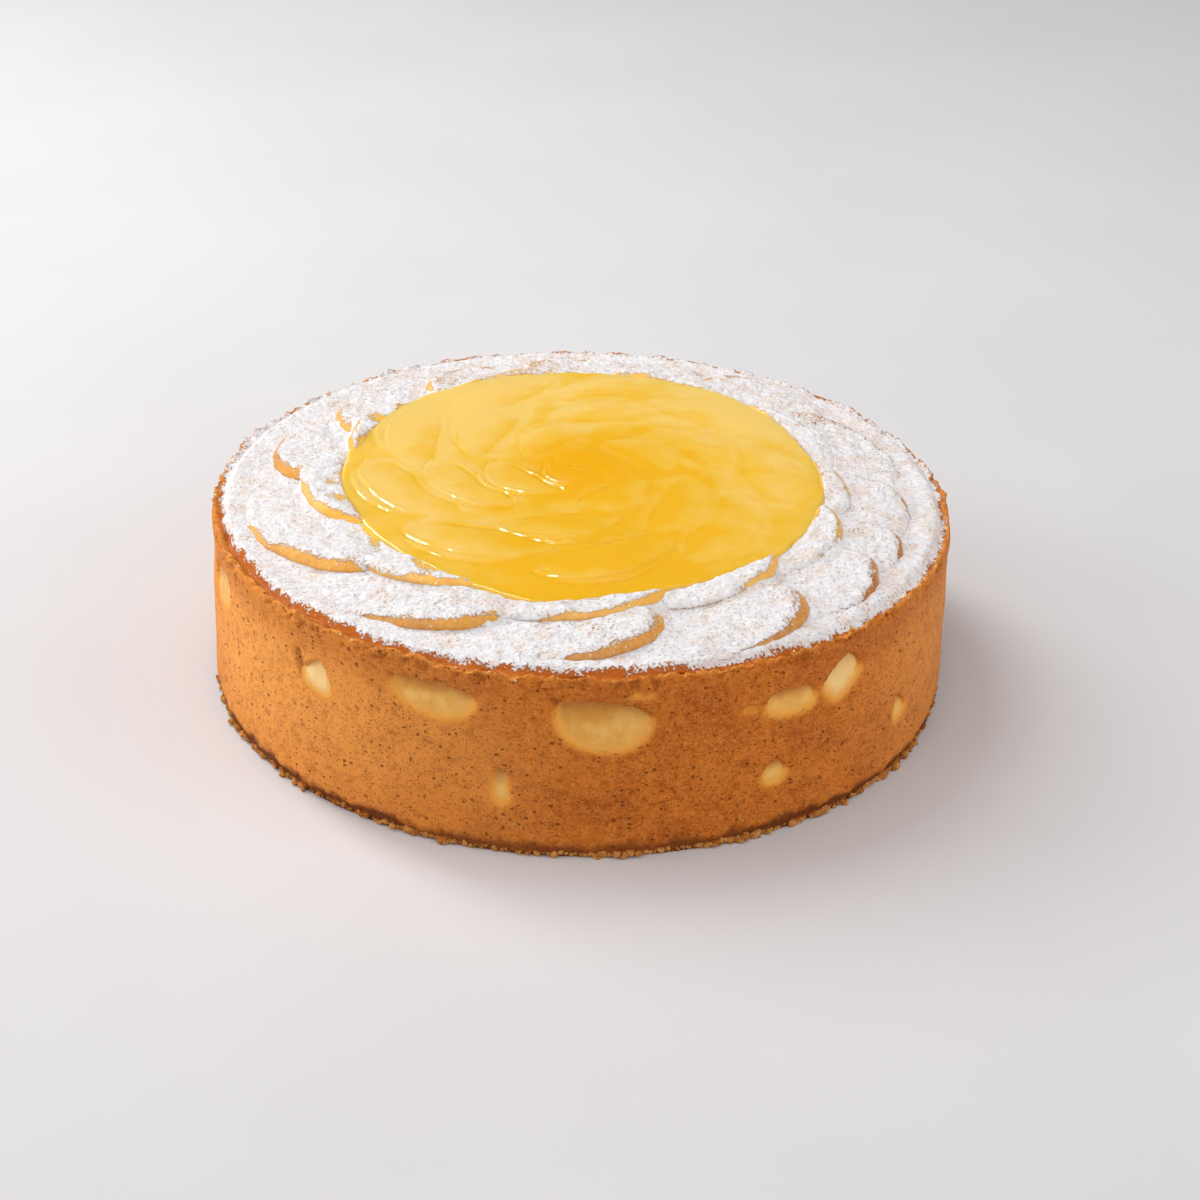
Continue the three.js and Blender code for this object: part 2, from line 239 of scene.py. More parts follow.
# Rows of the crust's grid, from the underside to the bed: radius and height of its corners, and the spacing
# between rows. CORE_RADIUS is its last row, WALL_INSIDE parts the wall and lip from the top, and
# CREST_RADIUS is the thin edge of the lip.
CRUST_SEGMENTS = 1040
CORE_RADIUS = 40
WALL_INSIDE = 116.8
CREST_RADIUS = 118.9
CRUST_RUNS = (
    (((60, 0), (112, 0), (118.6, 0), (120.3, 0)), 60),
    (((120.3, 0), (121.1, 1.6), (121.35, 4)), 0.7),
    (((121.35, 4), (NECK_RADIUS, NECK_HEIGHT)), 0.92),
    (((NECK_RADIUS, NECK_HEIGHT), (119.75, 54.5), (120, 57.2), (119.8, 58.8)), 0.66),
    (((119.8, 58.8), (119.5, 59.6), (119, 59.95), (118.5, 59.7), (118, 59.2), (117.2, 59)), 0.5),
    (
        (
            (117.2, 59), (116.2, 59.6), (115.3, 60.7), (SHOULDER_OUTSIDE, SHOULDER_HEIGHT),
            (SHOULDER_INSIDE, SHOULDER_HEIGHT),
        ),
        0.6,
    ),
    (((SHOULDER_INSIDE, SHOULDER_HEIGHT), (SHELF_RADIUS, SHELF_HEIGHT), (101, SHELF_HEIGHT)), 2.2),
    (((BED_BRIM, SHELF_HEIGHT), (BED_RADIUS, BED_HEIGHT), (CORE_RADIUS, BED_HEIGHT)), 60),
)

# Open bubbles in the wall: lowest and highest, radius of the smallest, how many times its radius one reaches,
# and where they fade out below the lip
PIT_SEED = 5
PIT_BAND = (4, 56)
SMALLEST_PIT = 0.5
PIT_REACH = 2.2
PIT_FADE = (54, 58)

# Bands of the crust, by height or radius, from where each starts to where it is full
CLOD_BAND = (2.8, 0.6)
FOOT_BAND = (5.8, 2.6)
CRUMB_BAND = (2.4, 0.8)
UNDERCUT_START = (55.6, 57.2)
UNDERCUT_END = (59.7, 58.6)
LIP_BAND = (56.4, 59)
SUGAR_BAND = (57.5, 58.8)
SUGAR_RADII = (116.3, 114.3)
HEAP_RADII = (117.5, 116)
TOFFEE_RADII = (118.2, 117.4)
# Least radius of sugar heaped against slices, and least radius and height of loose grains on the shoulder
HEAP_INSIDE = 100
GRAIN_INSIDE = 112
GRAIN_LEVEL = 58.5

# Browning of the wall, and painted light on it: where it is fairer to the left and to the right, partly as
# painted light on those lit sides, and above the foot, and where it is darker again under the lip and, as
# painted shade, on the far left
FAIR_LIT_LEFT = (22, -112)
FAIR_LIT_RIGHT = (70, 118)
FAIR_ABOVE = (0, 26)
DARK_UNDER_LIP = (44, 56)
SHADED_FAR_LEFT = (-106, -120)

# Slots that baked open in the wall, and shallow pale patches: bearing and height of both ends, half width
# and depth
WALL_SLOTS = (
    ((225.4, 47.2), (226.4, 41.5), 1.2, 1.7),
    ((242.8, 52.8), (244.2, 51.2), 0.9, 0.9),
    ((250.0, 54.6), (251.2, 53.2), 0.7, 1.0),
    ((264.5, 56.0), (269.5, 57.4), 0.5, 0.6),
    ((266.6, 52.6), (268.0, 50.8), 1.1, 1.3),
    ((235.0, 33.0), (244.0, 26.0), 0.6, 0.5),
    ((293.0, 45.2), (297.0, 44.6), 0.9, 0.5),
    ((281.9, 24.2), (282.3, 23.8), 0.6, 0.9),
    ((283.4, 22.2), (283.8, 21.8), 0.5, 0.8),
)
PALE_PATCHES = (
    ((277.0, 54.6), (283.0, 53.0), 1.3, 0.5),
    ((293.0, 45.0), (297.0, 44.4), 1.1, 0.4),
)


def smooth(low, high, value):
    """Smooth step from 0 at low to 1 at high, either way round."""
    share = np.clip((value - low) / (high - low), 0, 1)
    return share * share * (3 - 2 * share)


def lerp(start, end, share):
    """Value a share of the way from start to end."""
    return start + (end - start) * share


# Smooth noise, about -1 to 1, from one seeded table of slopes
NOISE_TABLE = 1024
NOISE_SHIFT = 17.37
NOISE_GAIN = 1.7
NOISE_DRAW = np.random.default_rng(12)
ORDER = NOISE_DRAW.permutation(NOISE_TABLE)
SLOPES = NOISE_DRAW.normal(size=(NOISE_TABLE, 3))
SLOPES /= np.linalg.norm(SLOPES, axis=1)[:, None]


def noise(points, size, seed):
    """Noise at points in millimetres, with features of about that size, and a pattern for each seed."""
    scaled = points / size + seed * NOISE_SHIFT
    cell = np.floor(scaled).astype(int)
    part = scaled - cell
    fade = part ** 3 * (part * (part * 6 - 15) + 10)
    total = np.zeros(len(points))
    for corner in itertools.product((0, 1), repeat=3):
        at = (cell + corner) % NOISE_TABLE
        row = ORDER[(at[:, 1] + ORDER[at[:, 2]]) % NOISE_TABLE]
        pick = ORDER[(at[:, 0] + row) % NOISE_TABLE]
        weight = np.prod(np.where(corner, fade, 1 - fade), axis=1)
        total += weight * np.einsum("ij,ij->i", SLOPES[pick], part - corner)
    return total * NOISE_GAIN


def powder_lumps(points):
    """Soft lumps of sieved sugar, about -1 to 1."""
    return 0.6 * noise(points, 5.2, 12) + 0.45 * noise(points, 2.4, 13) + 0.2 * noise(points, 1.3, 18)


def waver(bearing, height):
    """Slow unevenness round the tart, as in the solid."""
    return sum(
        share * np.sin(count * bearing + climb * height + shift)
        for count, climb, shift, share in WAVES
    )


def wall_radius(height):
    """Radius of the plain wall at a height."""
    return lerp(BASE_RADIUS, NECK_RADIUS, height / NECK_HEIGHT)


def round_tart(radius, turn, height):
    """Points at radii, bearings and heights."""
    return np.stack([radius * np.cos(turn), radius * np.sin(turn), height], axis=-1)


def along_wall(turns, bearing):
    """How far bearings lie from one of them, in millimetres along the wall."""
    return ((turns - bearing + math.pi) % FULL_TURN - math.pi) * RIM_RADIUS


def wall_lumps(bearing, height):
    """How far the baked wall swells out at bearings and heights."""
    points = round_tart(wall_radius(height), bearing, height).reshape(-1, 3)
    fine = 0.22 * noise(points, 11, 1) + 0.12 * noise(points, 3, 2)
    return WALL_LUMP * waver(bearing, height) + fine.reshape(np.shape(bearing))


def pool_edge(turn):
    """Radius of the edge of the glaze at bearings, which reaches furthest at the back and front."""
    edge = POOL_RADIUS - 1 + POOL_BACK * smooth(0.3, 0.95, np.sin(turn))
    for bearing, width, reach in POOL_BULGES:
        edge = edge + reach * np.exp(-(((np.degrees(turn) % 360 - bearing) / width) ** 2))
    return edge


def pool_gap(x, y):
    """How far points are outside the edge of the glaze, below 0 inside it."""
    return np.hypot(x, y) - pool_edge(np.arctan2(y, x))


def resampled(corners, spacing):
    """Points along a line of corners, about that far apart, without the last."""
    corners = np.array(corners, float)
    found = []
    for start, end in zip(corners, corners[1:]):
        steps = max(1, round(math.dist(start, end) / spacing))
        found += [lerp(start, end, i / steps) for i in range(steps)]
    return found


def grid_faces(rings, sides, flip=False):
    """Faces of rings of points with a pole before the first ring and one after the last."""
    side = np.arange(sides)
    after = (side + 1) % sides
    last = 1 + rings * sides
    start = 1 + np.arange(rings - 1)[:, None] * sides
    quads = np.stack([start + side, start + after, start + sides + after, start + sides + side], -1)
    faces = quads.reshape(-1, 4).tolist()
    faces += [[0, 1 + b, 1 + a] for a, b in zip(side.tolist(), after.tolist())]
    top = last - sides
    faces += [[top + a, top + b, last] for a, b in zip(side.tolist(), after.tolist())]
    return [face[::-1] for face in faces] if flip else faces


def mesh_of(name, points, faces):
    """Smooth-shaded mesh from points in millimetres."""
    mesh = bpy.data.meshes.new(name)
    mesh.from_pydata((points * MM).tolist(), [], faces)
    mesh.polygons.foreach_set("use_smooth", np.ones(len(mesh.polygons), bool))
    mesh.update()
    return mesh


def points_of(mesh):
    """Points of a mesh in millimetres."""
    flat = np.zeros(len(mesh.vertices) * 3)
    mesh.vertices.foreach_get("co", flat)
    return flat.reshape(-1, 3) / MM


def normals_of(mesh):
    """Normals at the points of a mesh."""
    flat = np.zeros(len(mesh.vertices) * 3, np.float32)
    mesh.vertex_normals.foreach_get("vector", flat)
    return flat.reshape(-1, 3).astype(float)


def move_points(mesh, points):
    """Puts the points of a mesh at new places in millimetres."""
    mesh.vertices.foreach_set("co", (points * MM).ravel())
    mesh.update()


def add_layers(mesh, **layers):
    """Numbers at each point of a mesh, which its material reads by name."""
    for name, values in layers.items():
        layer = mesh.attributes.new(name, "FLOAT", "POINT")
        layer.data.foreach_set("value", np.asarray(values, np.float32))


def show(name, mesh, finish, slot, *nodes):
    """Makes a mesh a piece of the tart, in place of the CAD nodes that it stands for."""
    mesh.materials.clear()
    mesh.materials.append(finish)
    piece = bpy.data.objects.new(name, mesh)
    bpy.context.scene.collection.objects.link(piece)
    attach(piece, "root")
    if nodes:
        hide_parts(*nodes)


def paint(code):
    """Linear colour from the six digits of a screen colour."""
    values = [int(code[i:i + 2], 16) / 255 for i in (0, 2, 4)]
    return tuple(v / 12.92 if v <= 0.04045 else ((v + 0.055) / 1.055) ** 2.4 for v in values)


class Finish:
    """Node material that is built up socket by socket round one shader."""

    def __init__(self, name, **surface):
        self.material = bpy.data.materials.new(name)
        self.material.use_nodes = True
        self.nodes = self.material.node_tree.nodes
        self.links = self.material.node_tree.links
        self.shader = self.nodes["Principled BSDF"]
        self.place = self.put("ShaderNodeTexCoord").outputs["Object"]
        for socket, value in surface.items():
            self.feed(self.shader.inputs[socket.replace("_", " ")], value)

    def feed(self, socket, value):
        """Links an output to a socket, or sets the socket to a value."""
        if isinstance(value, bpy.types.NodeSocket):
            self.links.new(value, socket)
        elif socket.type == "RGBA" and len(value) == 3:
            socket.default_value = (*value, 1)
        else:
            socket.default_value = value

    def put(self, kind, settings=(), **inputs):
        """New node with its settings and its inputs by name."""
        node = self.nodes.new(kind)
        for key, value in dict(settings).items():
            setattr(node, key, value)
        for key, value in inputs.items():
            self.feed(node.inputs[key.replace("_", " ")], value)
        return node

    def layer(self, name):
        """A mesh's own number at each point."""
        return self.put("ShaderNodeAttribute", {"attribute_name": name}).outputs["Fac"]

    def math(self, operation, *values):
        """Arithmetic on one to three numbers."""
        node = self.put("ShaderNodeMath", {"operation": operation})
        for socket, value in zip(node.inputs, values):
            self.feed(socket, value)
        return node.outputs[0]

    def span(self, value, low, high, start=0.0, end=1.0):
        """Smooth step of a number between low and high, from start to end."""
        settings = {"interpolation_type": "SMOOTHSTEP"}
        node = self.put("ShaderNodeMapRange", settings, Value=value, From_Min=low, From_Max=high)
        self.feed(node.inputs["To Min"], start)
        self.feed(node.inputs["To Max"], end)
        return node.outputs[0]

    def mix(self, share, first, second):
        """Blend of two colours."""
        # The node has a pair of inputs and an output for each kind of value, and these are the colours'
        node = self.put("ShaderNodeMix", {"data_type": "RGBA"})
        self.feed(node.inputs[0], share)
        self.feed(node.inputs[6], first)
        self.feed(node.inputs[7], second)
        return node.outputs[2]

    def cloud(self, size, detail=3.0, place=None):
        """Noise between 0 and 1 with features of that size in millimetres."""
        scale = 1 / (size * MM)
        node = self.put("ShaderNodeTexNoise", Vector=place or self.place, Scale=scale, Detail=detail)
        return node.outputs[0]

    def cells(self, size, place=None):
        """Distance to the nearest of scattered points, in cells, and a random number for each."""
        node = self.put("ShaderNodeTexVoronoi", Vector=place or self.place, Scale=1 / (size * MM))
        split = self.put("ShaderNodeSeparateColor", Color=node.outputs["Color"])
        return node.outputs["Distance"], split.outputs[0]

    def dots(self, size, smallest, largest, place=None, edge=0.1):
        """Scattered round spots of uneven sizes, 1 inside them."""
        distance, chance = self.cells(size, place)
        reach = self.math("MULTIPLY_ADD", chance, largest - smallest, smallest)
        return self.span(self.math("SUBTRACT", distance, reach), edge / 2, -edge / 2)

    def warped(self, size, amount):
        """Object coordinates pushed about by noise, so that patterns on them aren't regular."""
        node = self.put("ShaderNodeTexNoise", Vector=self.place, Scale=1 / (size * MM), Detail=2.0)
        centred = self.put("ShaderNodeVectorMath", {"operation": "SUBTRACT"})
        self.feed(centred.inputs[0], node.outputs["Color"])
        centred.inputs[1].default_value = (0.5, 0.5, 0.5)
        moved = self.put("ShaderNodeVectorMath", {"operation": "MULTIPLY_ADD"})
        self.feed(moved.inputs[0], centred.outputs[0])
        moved.inputs[1].default_value = (amount * MM,) * 3
        self.feed(moved.inputs[2], self.place)
        return moved.outputs[0]

    def bump(self, height, depth):
        """Fine relief, as deep as depth in millimetres where height goes from 0 to 1."""
        node = self.put("ShaderNodeBump", Height=height, Distance=depth * MM, Strength=1.0)
        self.feed(self.shader.inputs["Normal"], node.outputs[0])

    def done(self, colour, roughness):
        """Gives the shader its colour and roughness and hands over the material."""
        self.feed(self.shader.inputs["Base Color"], colour)
        self.feed(self.shader.inputs["Roughness"], roughness)
        return self.material


def powdered(finish, sugar, look):
    """Where powder lies and its colour: dusted out at its edge, pricked with pits where it is thin."""
    frayed = finish.span(finish.cloud(0.9, 2.0), 0.3, 0.7, -0.5, 0.5)
    edge = finish.span(finish.math("ADD", sugar, frayed), 0.25, 0.7)
    cover = finish.math("MULTIPLY", edge, finish.span(sugar, 0.02, 0.2))
    split = finish.put("ShaderNodeSeparateXYZ", Vector=finish.place)
    right = finish.span(split.outputs["X"], 0.0, 0.1, 0.0, 0.05)
    back = finish.span(split.outputs["Y"], 0.03, 0.1, 0.0, 0.05)
    uneven = finish.math("ADD", finish.cloud(7, 3.0), finish.math("ADD", right, back))
    uneven = finish.math("ADD", uneven, finish.span(sugar, 1.0, 0.4, 0.0, 0.14))
    thin = finish.span(uneven, 0.5, 0.66)
    pits = finish.dots(1.25, -0.2, 0.36, finish.warped(1.2, 0.5), 0.14)
    worn = finish.math("MULTIPLY", pits, finish.math("MULTIPLY_ADD", thin, 0.5, 0.07))
    colour = finish.mix(finish.span(finish.cloud(2.6, 2.0), 0.3, 0.7), look.shade, look.sugar)
    colour = finish.mix(finish.math("MULTIPLY", thin, 0.42), colour, look.thin)
    return cover, finish.mix(worn, colour, look.pit)


def crust_finish(look, powder):
    """Golden-brown baked crumb with pores, dark foot, glossy shoulder and powder on top, with painted shade
    in its pores and pits.
    """
    f = Finish("baked_crust", Specular_IOR_Level=0.16)
    patches = f.span(f.cloud(24, 3.0), 0.35, 0.65)
    mottle = f.span(f.cloud(2.4, 4.0), 0.3, 0.7)
    colour = f.mix(patches, look.golden, look.brown)
    # Fair colour is partly less browning and partly painted light on the lit left and right sides of the wall
    colour = f.mix(f.layer("fair"), colour, look.fair)
    colour = f.mix(f.math("MULTIPLY", mottle, 0.3), colour, look.tan)
    fine = f.cloud(0.8, 3.0)
    colour = f.mix(f.span(fine, 0.5, 0.72, 0.0, 0.5), colour, look.tan)
    colour = f.mix(f.span(fine, 0.46, 0.28, 0.0, 0.22), colour, look.pore)
    colour = f.mix(f.span(f.layer("pale"), 0.0, 0.65), colour, look.halo)
    colour = f.mix(f.span(f.layer("pale"), 0.5, 1.0, 0.0, 0.9), colour, look.flesh)
    colour = f.mix(f.layer("foot"), colour, look.dark)
    # The crest colour is partly the lip's lighter crust and partly a painted highlight along its thin edge
    colour = f.mix(f.layer("crest"), colour, look.crest)
    colour = f.mix(f.layer("toffee"), colour, look.toffee)
    streaks = f.put("ShaderNodeMapping", Vector=f.warped(1.6, 1.3), Scale=(1, 1, 1.5)).outputs[0]
    large = f.dots(2.3, -0.24, 0.26, streaks, 0.12)
    small = f.dots(1.05, -0.12, 0.36, streaks, 0.24)
    plain = f.math("SUBTRACT", 1.0, f.math("MAXIMUM", f.layer("toffee"), f.layer("pale")))
    curl = f.math("ABSOLUTE", f.math("SUBTRACT", f.cloud(2.0, 1.0, streaks), 0.5))
    curl = f.math("MULTIPLY", f.span(curl, 0.07, 0.015, 0.0, 0.2), f.span(f.cloud(3.5, 2.0), 0.5, 0.6))
    holes = f.math("MAXIMUM", large, f.math("MULTIPLY", small, 0.45))
    pores = f.math("MULTIPLY", f.math("MAXIMUM", holes, curl), plain)
    # Painted shade: pores and curled streaks are darkened toward the pore colour as if in shadow
    colour = f.mix(f.math("MULTIPLY", pores, 0.8), colour, look.pore)
    # Painted shade: open bubbles, slots and crevices are darkened in their recesses
    colour = f.mix(f.math("MULTIPLY", f.layer("pit"), 0.4), colour, look.pore)
    specks = f.math("MULTIPLY", f.dots(1.3, -0.16, 0.18, f.warped(1, 0.7), 0.1), 0.35)
    colour = f.mix(f.math("MULTIPLY", specks, plain), colour, look.speck)
    cover, dust = powdered(f, f.layer("sugar"), powder)
    colour = f.mix(cover, colour, dust)
    crumb = f.math("MULTIPLY_ADD", f.cloud(1.0, 4.0), 0.65, f.math("MULTIPLY", pores, -1.4))
    lumps = f.math("MULTIPLY", f.cloud(1.9, 2.0), 2.0)
    relief = f.put("ShaderNodeMix", {"data_type": "FLOAT"})
    for socket, value in zip((0, 2, 3), (cover, crumb, lumps)):
        f.feed(relief.inputs[socket], value)
    f.bump(relief.outputs[0], 0.5)
    gloss = f.span(f.layer("toffee"), 0.2, 0.9, 0.6, 0.3)
    return f.done(colour, f.math("MAXIMUM", gloss, f.math("MULTIPLY", cover, 0.9)))


def slice_finish(look, powder):
    """Baked pear under icing sugar, bare and moist at its edges."""
    f = Finish("sugared_pear", Specular_IOR_Level=0.3, Subsurface_Weight=0.3, Subsurface_Scale=0.0022)
    f.shader.inputs["Subsurface Radius"].default_value = (1.0, 0.75, 0.5)
    flesh = f.mix(f.layer("toast"), look.flesh, look.amber)
    flesh = f.mix(f.span(f.cloud(6, 3.0), 0.4, 0.7, 0.0, 0.35), flesh, look.toast)
    fibre = f.put("ShaderNodeMapping", Vector=f.place, Scale=(1, 1, 0.3)).outputs[0]
    flesh = f.mix(f.span(f.cloud(1.2, 3.0, fibre), 0.35, 0.7, 0.0, 0.2), flesh, look.pale)
    flesh = f.mix(f.layer("tip"), flesh, look.ripe)
    flesh = f.mix(f.layer("moist"), flesh, look.moist)
    dusted = f.span(f.layer("sugar"), 0.0, 0.35, 0.3, 1.0)
    grains = f.math("MULTIPLY", f.dots(0.8, -0.25, 0.34, None, 0.1), dusted)
    cover, dust = powdered(f, f.layer("sugar"), powder)
    cover = f.math("MAXIMUM", cover, f.math("MULTIPLY", grains, 0.85))
    colour = f.mix(cover, flesh, dust)
    lumps = f.math("MULTIPLY", f.cloud(1.9, 2.0), f.math("MULTIPLY_ADD", cover, 1.2, 0.2))
    f.bump(f.math("MULTIPLY_ADD", cover, 0.15, lumps), 0.85)
    return f.done(colour, f.math("MULTIPLY_ADD", cover, 0.55, 0.32))


def glaze_finish(look):
    """Clear yellow glaze over milky slices of pear, lightened by painted sheen at its sides and back."""
    f = Finish(
        "glaze", Specular_IOR_Level=0.0, Coat_Weight=0.9, Coat_Roughness=0.05, Coat_IOR=2.0,
        Subsurface_Weight=0.6, Subsurface_Scale=0.006,
    )
    f.shader.inputs["Subsurface Radius"].default_value = (1.0, 0.7, 0.25)
    drift = f.span(f.cloud(11, 3.0), 0.3, 0.7, -0.2, 0.2)
    # Ridge numbers hold the milky crescents of the slices and the painted sheen at the glaze's sides and back
    ridge = f.math("ADD", f.layer("ridge"), drift)
    colour = f.mix(f.span(ridge, 0.1, 0.55), look.valley, look.honey)
    colour = f.mix(f.span(ridge, 0.45, 1.1), colour, look.milky)
    colour = f.mix(f.layer("eye"), colour, look.eye)
    beads = f.math("MULTIPLY_ADD", f.layer("bead"), 4.0, 1.0)
    f.bump(f.math("MULTIPLY", f.math("SUBTRACT", f.cloud(1.1, 2.0), 0.5), beads), 0.07)
    return f.done(colour, 0.4)


def pear_finish(look):
    """Moist cooked pear where the wall cuts it, darkened near the top by painted shade under the wall's edge.
    """
    f = Finish("baked_pear", Specular_IOR_Level=0.25)
    colour = f.mix(f.span(f.cloud(4.5, 3.0), 0.35, 0.7), look.pale, look.yellow)
    colour = f.mix(f.layer("blanched"), colour, look.white)
    # Shade colour is painted shade under the wall's overhanging upper edge
    colour = f.mix(f.layer("shade"), colour, look.shade)
    colour = f.mix(f.layer("rind"), colour, look.rind)
    specks = f.math("MULTIPLY", f.dots(2.4, -0.2, 0.16, f.warped(2, 1.0), 0.12), 0.5)
    colour = f.mix(specks, colour, look.rind)
    f.bump(f.cloud(1.4, 4.0), 0.3)
    return f.done(colour, 0.42)


def speckled_finish(name, first, second, size, roughness):
    """Small loose things in two mixed colours."""
    f = Finish(name, Specular_IOR_Level=0.3)
    colour = f.mix(f.span(f.cloud(size, 3.0), 0.35, 0.65), first, second)
    f.bump(f.cloud(size * 0.4, 3.0), 0.15)
    return f.done(colour, roughness)


def colour_prop(name, description, code):
    """Colour that a user may change."""
    return bpy.props.FloatVectorProperty(
        name=name, description=description, subtype="COLOR", size=3, min=0, max=1, default=paint(code)
    )


def length_prop(name, description, millimetres):
    """Length in metres that a user may change, from its default in millimetres."""
    return bpy.props.FloatProperty(
        name=name, description=description, unit="LENGTH", min=0, default=millimetres * MM, precision=5
    )


def count_prop(name, description, count):
    """Number of things that a user may change."""
    return bpy.props.IntProperty(name=name, description=description, default=count, min=0)


def power_prop(name, description, watts):
    """Strength of a light that a user may change."""
    return bpy.props.FloatProperty(name=name, description=description, unit="POWER", min=0, default=watts)


class TartCrustSettings(bpy.types.PropertyGroup):
    """Sizes and colours of the baked crust."""

    pits: count_prop("Pits", "Open bubbles in the wall", 1500)
    pit_depth: length_prop("Pit depth", "Depth of the deepest bubbles", 0.55)
    window_depth: length_prop("Window depth", "How far the wall opens over its pear", 3.4)
    golden: colour_prop("Golden", "Lighter crumb of the wall", "c66a1a")
    brown: colour_prop("Brown", "Darker crumb of the wall", "b0560f")
    # Fair colour is partly less browned crumb and partly painted light on the lit left and right sides
    fair: colour_prop("Fair", "Less browned sides", "faa750")
    # Crest colour is partly lighter crust and partly a painted highlight along the lip's edge
    crest: colour_prop("Crest", "Thin edge of the lip", "e0923f")
    tan: colour_prop("Tan", "Fine mottling of the wall", "e3913f")
    halo: colour_prop("Halo", "Thin crumb round the pear in the wall", "e59438")
    flesh: colour_prop("Flesh", "Crumb that the pear shines through", "eaa84c")
    dark: colour_prop("Foot", "Dark band at the foot", "6e3510")
    toffee: colour_prop("Toffee", "Glossy shoulder inside the lip", "bb6216")
    # Pore colour is painted shade in pores, pits and slots, and also tints the fine random mottling
    pore: colour_prop("Pore", "Depth of the pores", "7e3b0c")
    speck: colour_prop("Speck", "Light specks on the wall", "f0bf80")


class TartSugarSettings(bpy.types.PropertyGroup):
    """Colours of the icing sugar."""

    sugar: colour_prop("Sugar", "Icing sugar", "e8e7e9")
    shade: colour_prop("Shade", "Hollows of the icing sugar", "dfdbdc")
    thin: colour_prop("Thin", "Icing sugar that shows what is under it", "dcc4b0")
    pit: colour_prop("Pit", "Pricks in thin icing sugar", "a07a5e")


class TartPearSettings(bpy.types.PropertyGroup):
    """Colours of the pear in the wall."""

    pale: colour_prop("Pale", "Cut face of the pear", "eab660")
    yellow: colour_prop("Yellow", "Riper flesh", "e2a346")
    white: colour_prop("White", "Blanched flesh", "fad998")
    rind: colour_prop("Rind", "Browned edge", "e9a548")
    # Painted shade on the flesh under the wall's overhanging upper edge
    shade: colour_prop("Shade", "Flesh close under the wall's edge", "b66b1e")


class TartSliceSettings(bpy.types.PropertyGroup):
    """Sizes and colours of the sugared slices."""

    powder: length_prop("Powder", "Thickness of the icing sugar", 0.35)
    flesh: colour_prop("Flesh", "Bare edge of the inner slices", "fbc466")
    amber: colour_prop("Amber", "Bare edge of the outer slices", "a4521c")
    toast: colour_prop("Toast", "Browned patches on bare edges", "d28233")
    pale: colour_prop("Pale", "Fibres of the flesh", "fddca0")
    ripe: colour_prop("Ripe", "Raised ends", "f9b43c")
    moist: colour_prop("Moist", "Flesh where the glaze wets it", "f8be46")


class TartGlazeSettings(bpy.types.PropertyGroup):
    """Sizes and colours of the glazed rosette."""

    step: length_prop("Step", "Height of a slice's outer edge over the next", 0.54)
    edge: length_prop("Edge", "Roundness of a slice's outer edge", 0.22)
    valley: colour_prop("Valley", "Deep glaze between slices", "f1b21c")
    honey: colour_prop("Honey", "Glaze over the slices", "f2bc40")
    # Milky colour shows the raised edges of the slices and also the painted sheen at the sides and back
    milky: colour_prop("Milky", "Raised edges of the slices", "f5c868")
    eye: colour_prop("Eye", "Middle of the rosette", "f3aa00")


class TartLooseSettings(bpy.types.PropertyGroup):
    """Numbers, sizes and colours of the loose grains and crumbs."""

    grains: count_prop("Grains", "Sugar grains at the lip and bare edges", 2000)
    grain: length_prop("Grain", "Radius of a sugar grain", 0.22)
    crumbs: count_prop("Crumbs", "Crumbs at the foot", 1800)
    crumb: length_prop("Crumb", "Radius of a middling crumb", 0.42)
    white: colour_prop("White", "Sugar grains", "faf6f2")
    cream: colour_prop("Cream", "Moist sugar grains", "f6e6cf")
    golden: colour_prop("Golden", "Lighter crumbs", "cd9048")
    brown: colour_prop("Brown", "Darker crumbs", "a9682d")


class TartStageSettings(bpy.types.PropertyGroup):
    """Camera, floor and light."""

    lens: bpy.props.FloatProperty(
        name="Lens", description="Focal length", subtype="DISTANCE_CAMERA", default=71.37, min=1
    )
    floor: colour_prop("Floor", "Plain pale floor", "d2d0d1")
    world: bpy.props.FloatProperty(name="Room light", description="Light from all round", default=0.6, min=0)
    strip: power_prop("Strip light", "Narrow light behind on the left, which the glaze mirrors", 12)
    over: power_prop("Overhead light", "Broad soft light from above", 2.8)
    side: power_prop("Side light", "Low soft light on the left", 8.9)
    fill: power_prop("Fill light", "Soft light from the right", 4.6)


# Windows: the pieces of pear in the wall, each as a smooth outline on the unrolled wall


def rounded(outline, times=3):
    """Outline with its corners cut until it is smooth."""
    for _ in range(times):
        after = np.roll(outline, -1, axis=0)
        outline = np.stack([lerp(outline, after, 0.25), lerp(outline, after, 0.75)], 1).reshape(-1, 2)
    return outline


def window_of(node):
    """Bearing of a piece of pear in the wall, and its outline along and up the wall."""
    points = points_of(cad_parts[node].data)
    middle = points.mean(axis=0)
    bearing = math.atan2(middle[1], middle[0])
    along = along_wall(np.arctan2(points[:, 1], points[:, 0]), bearing)
    flat = np.unique(np.stack([along, points[:, 2]], axis=1).round(3), axis=0)
    corners = np.array([flat[i] for i in convex_hull_2d([Vector(p) for p in flat])])
    area = np.sum(corners[:, 0] * np.roll(corners[:, 1], -1) - np.roll(corners[:, 0], -1) * corners[:, 1])
    return bearing, rounded(corners if area > 0 else corners[::-1])


def outline_distance(outline, points):
    """Distance outside an outline, below 0 inside it, and how far the nearest edge faces down."""
    run = np.roll(outline, -1, axis=0) - outline
    facing = np.stack([run[:, 1], -run[:, 0]], axis=1) / np.linalg.norm(run, axis=1)[:, None]
    reach = points @ facing.T - np.sum(outline * facing, axis=1)
    nearest = reach.argmax(axis=1)
    return reach.max(axis=1), -facing[nearest, 1]


def softness(down):
    """How far the edge of a window fades out, 0 where it faces up to 1 where it faces down."""
    return smooth(-0.65, 0.5, down)


